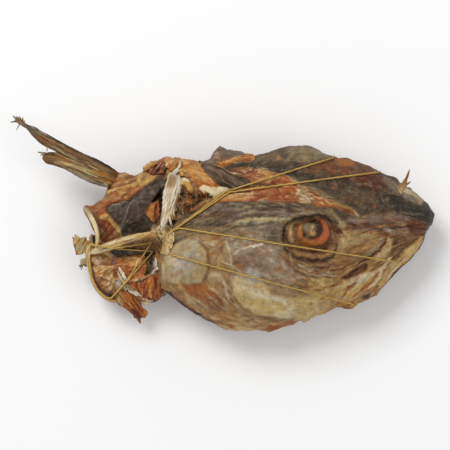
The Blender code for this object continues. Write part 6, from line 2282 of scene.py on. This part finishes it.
@dataclass
class Fin:
    """The spread fin: two lobes of bony rays with frayed tips.

    Attributes:
        rays: Fine rays laid on the lobes.
    """

    rays: int = 15

    def lobes(self) -> list[Strip]:
        """The two lobes.

        Returns:
            The upper lobe, the lower one and the web between them.
        """
        upper = Strip(UPPER_LOBE_SPINE, (BARK, BARK, UMBER, OLIVE, BARK, OLIVE, BARK, SLATE, OLIVE), BARK, 56, 220,
            0.14, 0.25, 1.0, ragged=0.05, seed=81, marks=FIN_MARKS)
        lower = Strip(LOWER_LOBE_SPINE, (UMBER, RUST, UMBER, TAN, HUSK, TAN, UMBER, BARK), OLIVE, 60, 190, 0.14, 0.25,
            1.0, blunt=16, ragged=0.06, seed=82, marks=FIN_MARKS)
        web = Strip(WEB_SPINE, (DOVE, SLATE, DOVE, ASH), SLATE, 20, 70, 0.12, 0.2, 1.2, seed=83)
        return [upper, lower, web]

    def frays(self) -> list[Strip]:
        """Fine rays on the lobes and the torn ends.

        Returns:
            The rays and the ends.
        """
        draw = random.Random(7)
        made = []
        for k in range(self.rays):
            x = -104 - draw.uniform(0, 22)
            share = k / self.rays
            base = 36 + (-100 - x) * 0.5 + share * 13
            length = draw.uniform(16, 34)
            rise = 0.52 if share > 0.45 else 0.42
            z = 46 + 2.4 * share + (-104 - x) * 0.07
            spine = tuple(
                (x - length * t, base + length * rise * t, z + length * t * 0.06 + 0.25, 0.9 - 0.3 * t, 0.9, 0.0)
                for t in (0, 0.5, 1)
            )
            tint = draw.choice((HUSK, TAN, CREAM, UMBER, BARK))
            made.append(Strip(spine, (tint,), around=6, along=20, ridge=0.05, seed=90 + k))
        for k, (root, bend, tip, width) in enumerate(FRAYED_ENDS):
            spine = ((*root, width, 1.4, 0), (*bend, width * 0.8, 1.2, 0), (*tip, width * 0.35, 0.7, 0))
            tints = (FAWN, OLIVE, HUSK) if k < UPPER_ENDS else (OLIVE, DOVE, SLATE)
            made.append(Strip(spine, tints, around=8, along=16, ridge=0.1, ragged=0.25, seed=120 + k))
        return made

    def build(self) -> Pieces:
        """Make the fin."""
        return [fish_piece("fin_lobes", self.lobes(), FIN), fish_piece("fin_rays_and_frays", self.frays(), FIN)]


# ---------------------------------------------------------------- the twine


@dataclass(frozen=True)
class Binding:
    """How the twine lies.

    Attributes:
        radius: Half its width, in millimetres.
        gap: Air left between it and the skin, in millimetres.
        step: Distance between the points of a leg, in millimetres.
        fine: Distance between the rings of the mesh, in millimetres.
        lay: Length in which the two plies turn once round each other, in millimetres.
        around: Points round a ring.
        turn_points: Stretches of twine round a side of the fish.
        turn_bulge: How far out a turn starts before it is drawn in, in millimetres.
        turn_rounds: Rounds of easing that draw it in.
    """

    radius: float = 0.72
    gap: float = 0.15
    step: float = 4.0
    fine: float = 0.8
    lay: float = 7.0
    around: int = 12
    turn_points: int = 9
    turn_bulge: float = 8.0
    turn_rounds: int = 60

    GOLD = "#c09c55"
    UPWARDS = (0.13, -0.2, 0.97)

    def leg(self, ground: Ground, start: Place, end: Place, from_below: bool = False) -> list[Vector]:
        """A straight leg in plan, pulled tight over the skin.

        Args:
            ground: The fish.
            start: x and y where the leg starts.
            end: x and y where it ends.
            from_below: Whether it runs under the fish.

        Returns:
            The leg's points.
        """
        steps = max(3, round((Vector(end) - Vector(start)).length / self.step))
        plan = [Vector(start).lerp(Vector(end), k / steps) for k in range(steps + 1)]
        sign = -1 if from_below else 1
        reach = ground.bottom if from_below else ground.top
        kept = []
        for k, place in enumerate(plan):
            around = [reach(place.x + dx, place.y + dy) for dx in (-1, 0, 1) for dy in (-1, 0, 1)]
            met = [sign * height for height in around if height is not None]
            if met:
                kept.append((k, max(met) + self.radius + self.gap))
        hull = []
        for k, h in kept:
            while len(hull) > 1 and rise(hull[-2], hull[-1]) <= rise(hull[-1], (k, h)):
                hull.pop()
            hull.append((k, h))
        line = []
        for (k, h), (n, g) in zip(hull, hull[1:]):
            line += [(i, h + (g - h) * (i - k) / (n - k)) for i in range(k, n)]
        line.append(hull[-1])
        return [Vector((plan[k].x, plan[k].y, sign * h)) for k, h in line]

    def round_edge(self, ground: Ground, top: Vector, bottom: Vector, outward: Place) -> list[Vector]:
        """Points from top round the side of the fish to bottom, drawn onto the skin.

        Args:
            ground: What the twine is drawn onto.
            top: The last point above.
            bottom: The first point below.
            outward: x and y of the way out of the fish.

        Returns:
            The points between top and bottom.
        """
        clearance = self.radius * 0.4
        ring = [top]
        for k in range(1, self.turn_points):
            share = k / self.turn_points
            out = Vector((*outward, 0)) * (self.turn_bulge * math.sin(math.pi * k / self.turn_points))
            ring.append(top.lerp(bottom, share) + out)
        ring.append(bottom)
        for _ in range(self.turn_rounds):
            for k in range(1, len(ring) - 1):
                middle = ring[k].lerp((ring[k - 1] + ring[k + 1]) / 2, 0.5)
                ring[k] = ground.pushed_out(middle, clearance)
        return ring[1:-1]

    def tube(self, name: str, points: list[Vector], stands_for: str) -> bpy.types.Object:
        """A closed loop of two-ply twine.

        Args:
            name: The piece's name.
            points: The loop's course, in millimetres.
            stands_for: The CAD node that it stands for.

        Returns:
            The loop.
        """
        course = np.array([tuple(point) for point in points])
        course = np.vstack((course, course[:1]))
        walked = np.concatenate(([0.0], np.cumsum(np.linalg.norm(np.diff(course, axis=0), axis=1))))
        bm = bmesh.new()
        bmesh.ops.create_grid(bm, x_segments=int(walked[-1] / self.fine), y_segments=self.around, size=1.0)
        mesh, places = stored(name, bm)
        along, turn, _ = ((places.T + 1) / 2).astype(float)
        at = along * walked[-1]
        middle, ahead, behind = (
            np.stack([np.interp(where, walked, column) for column in course.T], axis=1)
            for where in (at, (at + 0.5) % walked[-1], (at - 0.5) % walked[-1])
        )
        way = ahead - behind
        way /= np.linalg.norm(way, axis=1, keepdims=True) + 1e-9
        side = np.cross(way, np.array(self.UPWARDS))
        side /= np.linalg.norm(side, axis=1, keepdims=True) + 1e-9
        up = np.cross(side, way)
        twists = round(walked[-1] / self.lay)
        angle = turn * math.tau
        ply = np.abs(np.cos(angle - math.pi * twists * along))
        radius = self.radius * (0.62 + 0.38 * ply)
        place = middle + side * (np.cos(angle) * radius)[:, None] + up * (np.sin(angle) * radius)[:, None]
        noise = Noise(len(points))
        drift = noise.at(np.stack((at / 9.0, np.zeros(len(at)), np.zeros(len(at))), axis=1))
        # painted shade: darker in the groove between the plies, where the tube is thinnest; drift varies the tone at
        # random
        colour = np.tile(srgb(self.GOLD), (len(at), 1)) * (0.74 + 0.3 * ply + 0.14 * drift)[:, None]
        shape = Shape(place, np.clip(colour, 0, 1), np.zeros(len(at)))
        return placed(mesh, shape, TWINE, stands_for, merge=0.00002)


def rise(a: tuple[int, float], b: tuple[int, float]) -> float:
    """The rise per step from a to b."""
    return (b[1] - a[1]) / (b[0] - a[0])


@dataclass
class Twine:
    """The two loops round the head and the two ties over the pouch."""

    binding: Binding = field(default_factory=Binding)

    # piece, and the places that it passes: throat, fork, far side, jaw side and throat again
    LOOPS = {
        "twine_brow_loop": ((-47, -8), (2, 27.6), (93, 56.5), (110.5, -68), (-45, -25)),
        "twine_snout_loop": ((-42, -4.9), (4.5, 27), (132, 44.5), (154.5, -33), (-37, -3)),
    }
    # piece, and its places: the apex at the throat and the strap
    TIES = {
        "twine_collar_tie": ((-61.4, -15.5), (-91, -20)),
        "twine_collar_second_tie": ((-60, -23), (-90, -20.6)),
    }
    RIM = ((-113.4, -17), (-116.6, -26), (-115.4, -36), (-112.4, -46), (-107.4, -56), (-101, -62.4))
    RIM_HEIGHT = 30
    WAY_HOME = ((-96, -63), (-83, -49))

    def head_loop(self, ground: Ground, skin: Ground, loop: Path) -> list[Vector]:
        """The course of a loop round the head.

        Args:
            ground: The whole fish.
            skin: The skins of the head and the collar only.
            loop: The places that it passes.

        Returns:
            The loop's points.
        """
        throat, fork, far, jaw, home = loop
        lay = self.binding
        over = lay.leg(ground, throat, fork) + lay.leg(ground, fork, far)[1:]
        under = lay.leg(ground, far, jaw, from_below=True)[1:-1]
        back = lay.leg(ground, jaw, home)
        far_side = lay.round_edge(skin, over[-1], under[0], (0.3, 0.95))
        jaw_side = lay.round_edge(skin, under[-1], back[0], (0.5, -0.85))
        knot = lay.leg(skin, home, throat)[1:-1]
        return over + far_side + under + jaw_side + back + knot

    def tie(self, ground: Ground, apex: Place, strap: Place) -> list[Vector]:
        """The course of a tie over the pouch: apex, strap, rim and back to the apex.

        Args:
            ground: The whole fish.
            apex: x and y of the corner at the throat.
            strap: x and y where it crosses the strap.

        Returns:
            The tie's points.
        """
        lay = self.binding
        rim = []
        for x, y in self.RIM:
            height = ground.top(x, y)
            rim.append(Vector((x, y, (self.RIM_HEIGHT if height is None else height) + lay.radius + lay.gap)))
        out = lay.leg(ground, apex, strap) + lay.leg(ground, strap, self.RIM[0])[1:]
        rim_end, flesh = self.WAY_HOME
        home = lay.leg(ground, self.RIM[-1], rim_end)[:-1]
        home += lay.leg(ground, rim_end, flesh) + lay.leg(ground, flesh, apex)[1:]
        return out + rim[1:-1] + home[:-1]

    def build(self, fish: Pieces) -> Pieces:
        """Make the loops and ties over the fish.

        Args:
            fish: All pieces of the fish.

        Returns:
            The four strands.
        """
        ground = Ground(fish)
        skin = Ground([piece for piece in fish if piece.name in ("head_skin", "collar_skin")])
        courses = {name: self.head_loop(ground, skin, places) for name, places in self.LOOPS.items()}
        courses |= {name: self.tie(ground, *places) for name, places in self.TIES.items()}
        return [
            self.binding.tube(name + "_strand", course, name if name in self.LOOPS else "twine_collar_tie")
            for name, course in courses.items()
        ]


# ---------------------------------------------------------------- studio


@dataclass
class Studio:
    """A pale floor, soft light and a camera that looks straight down.

    Attributes:
        distance: From the camera to the middle of the head, in metres.
        lens: Focal length on a 36 mm sensor, in millimetres.
        middle: Where the camera looks, in millimetres.
    """

    distance: float = 2.5
    lens: float = 235.3
    middle: tuple[float, float, float] = (1.275, -0.425, 45.0)

    def floor(self) -> bpy.types.Object:
        """Lay a wide matt floor.

        Returns:
            The floor.
        """
        mesh = bpy.data.meshes.new("studio_floor")
        bm = bmesh.new()
        bmesh.ops.create_grid(bm, x_segments=1, y_segments=1, size=8.0)
        bmesh.ops.translate(bm, verts=bm.verts, vec=(0, 0, -0.0004))
        bm.to_mesh(mesh)
        bm.free()
        floor = bpy.data.objects.new("studio_floor", mesh)
        bpy.context.scene.collection.objects.link(floor)
        paper = bpy.data.materials.new("white_backdrop_paper")
        paper.use_nodes = True
        shader = paper.node_tree.nodes["Principled BSDF"]
        shader.inputs["Base Color"].default_value = (*linear("#f7f7f6"), 1.0)
        shader.inputs["Roughness"].default_value = 0.9
        mesh.materials.append(paper)
        return floor

    def lamp(self, name: str, place: tuple[float, float, float], size: float, power: float) -> bpy.types.Object:
        """Hang a square soft light that faces the head.

        Args:
            name: The light's name.
            place: Where it hangs, in metres.
            size: Its side, in metres.
            power: Its power, in watts.

        Returns:
            The light.
        """
        data = bpy.data.lights.new(name, "AREA")
        data.size = size
        data.energy = power
        lamp = bpy.data.objects.new(name, data)
        lamp.location = place
        aim = Vector((0.0, 0.0, 0.05)) - Vector(place)
        lamp.rotation_euler = aim.to_track_quat("-Z", "Y").to_euler()
        bpy.context.scene.collection.objects.link(lamp)
        return lamp

    def build(self) -> None:
        """Set the floor, the lights and the camera."""
        self.floor()
        self.lamp("key_softbox", (-1.1, 1.5, 2.2), 1.2, 46.0)
        self.lamp("fill_softbox", (1.6, -0.6, 2.0), 1.6, 10.0)
        scene = bpy.context.scene
        scene.view_settings.view_transform = "Standard"
        scene.world = bpy.data.worlds.new("studio_white")
        scene.world.use_nodes = True
        sky = scene.world.node_tree.nodes["Background"]
        sky.inputs["Color"].default_value = (*linear("#fdfdff"), 1.0)
        sky.inputs["Strength"].default_value = 0.55
        data = bpy.data.cameras.new("camera_above")
        data.lens = self.lens
        data.sensor_width = 36.0
        camera = bpy.data.objects.new("camera_above", data)
        x, y, z = (value * MM for value in self.middle)
        camera.location = (x, y, z + self.distance)
        scene.collection.objects.link(camera)
        scene.camera = camera


def main() -> None:
    """Build the fish, its twine and the studio round it."""
    logging.basicConfig(level=logging.INFO, format="%(name)s %(message)s")
    Studio().build()
    fish = Head().build()
    fish += Collar().build(fish) + Pouch().build() + Fin().build()
    for piece in fish + Twine().build(fish):
        log.info("%s: %d points", piece.name, len(piece.data.vertices))


if __name__ == "__main__":
    main()
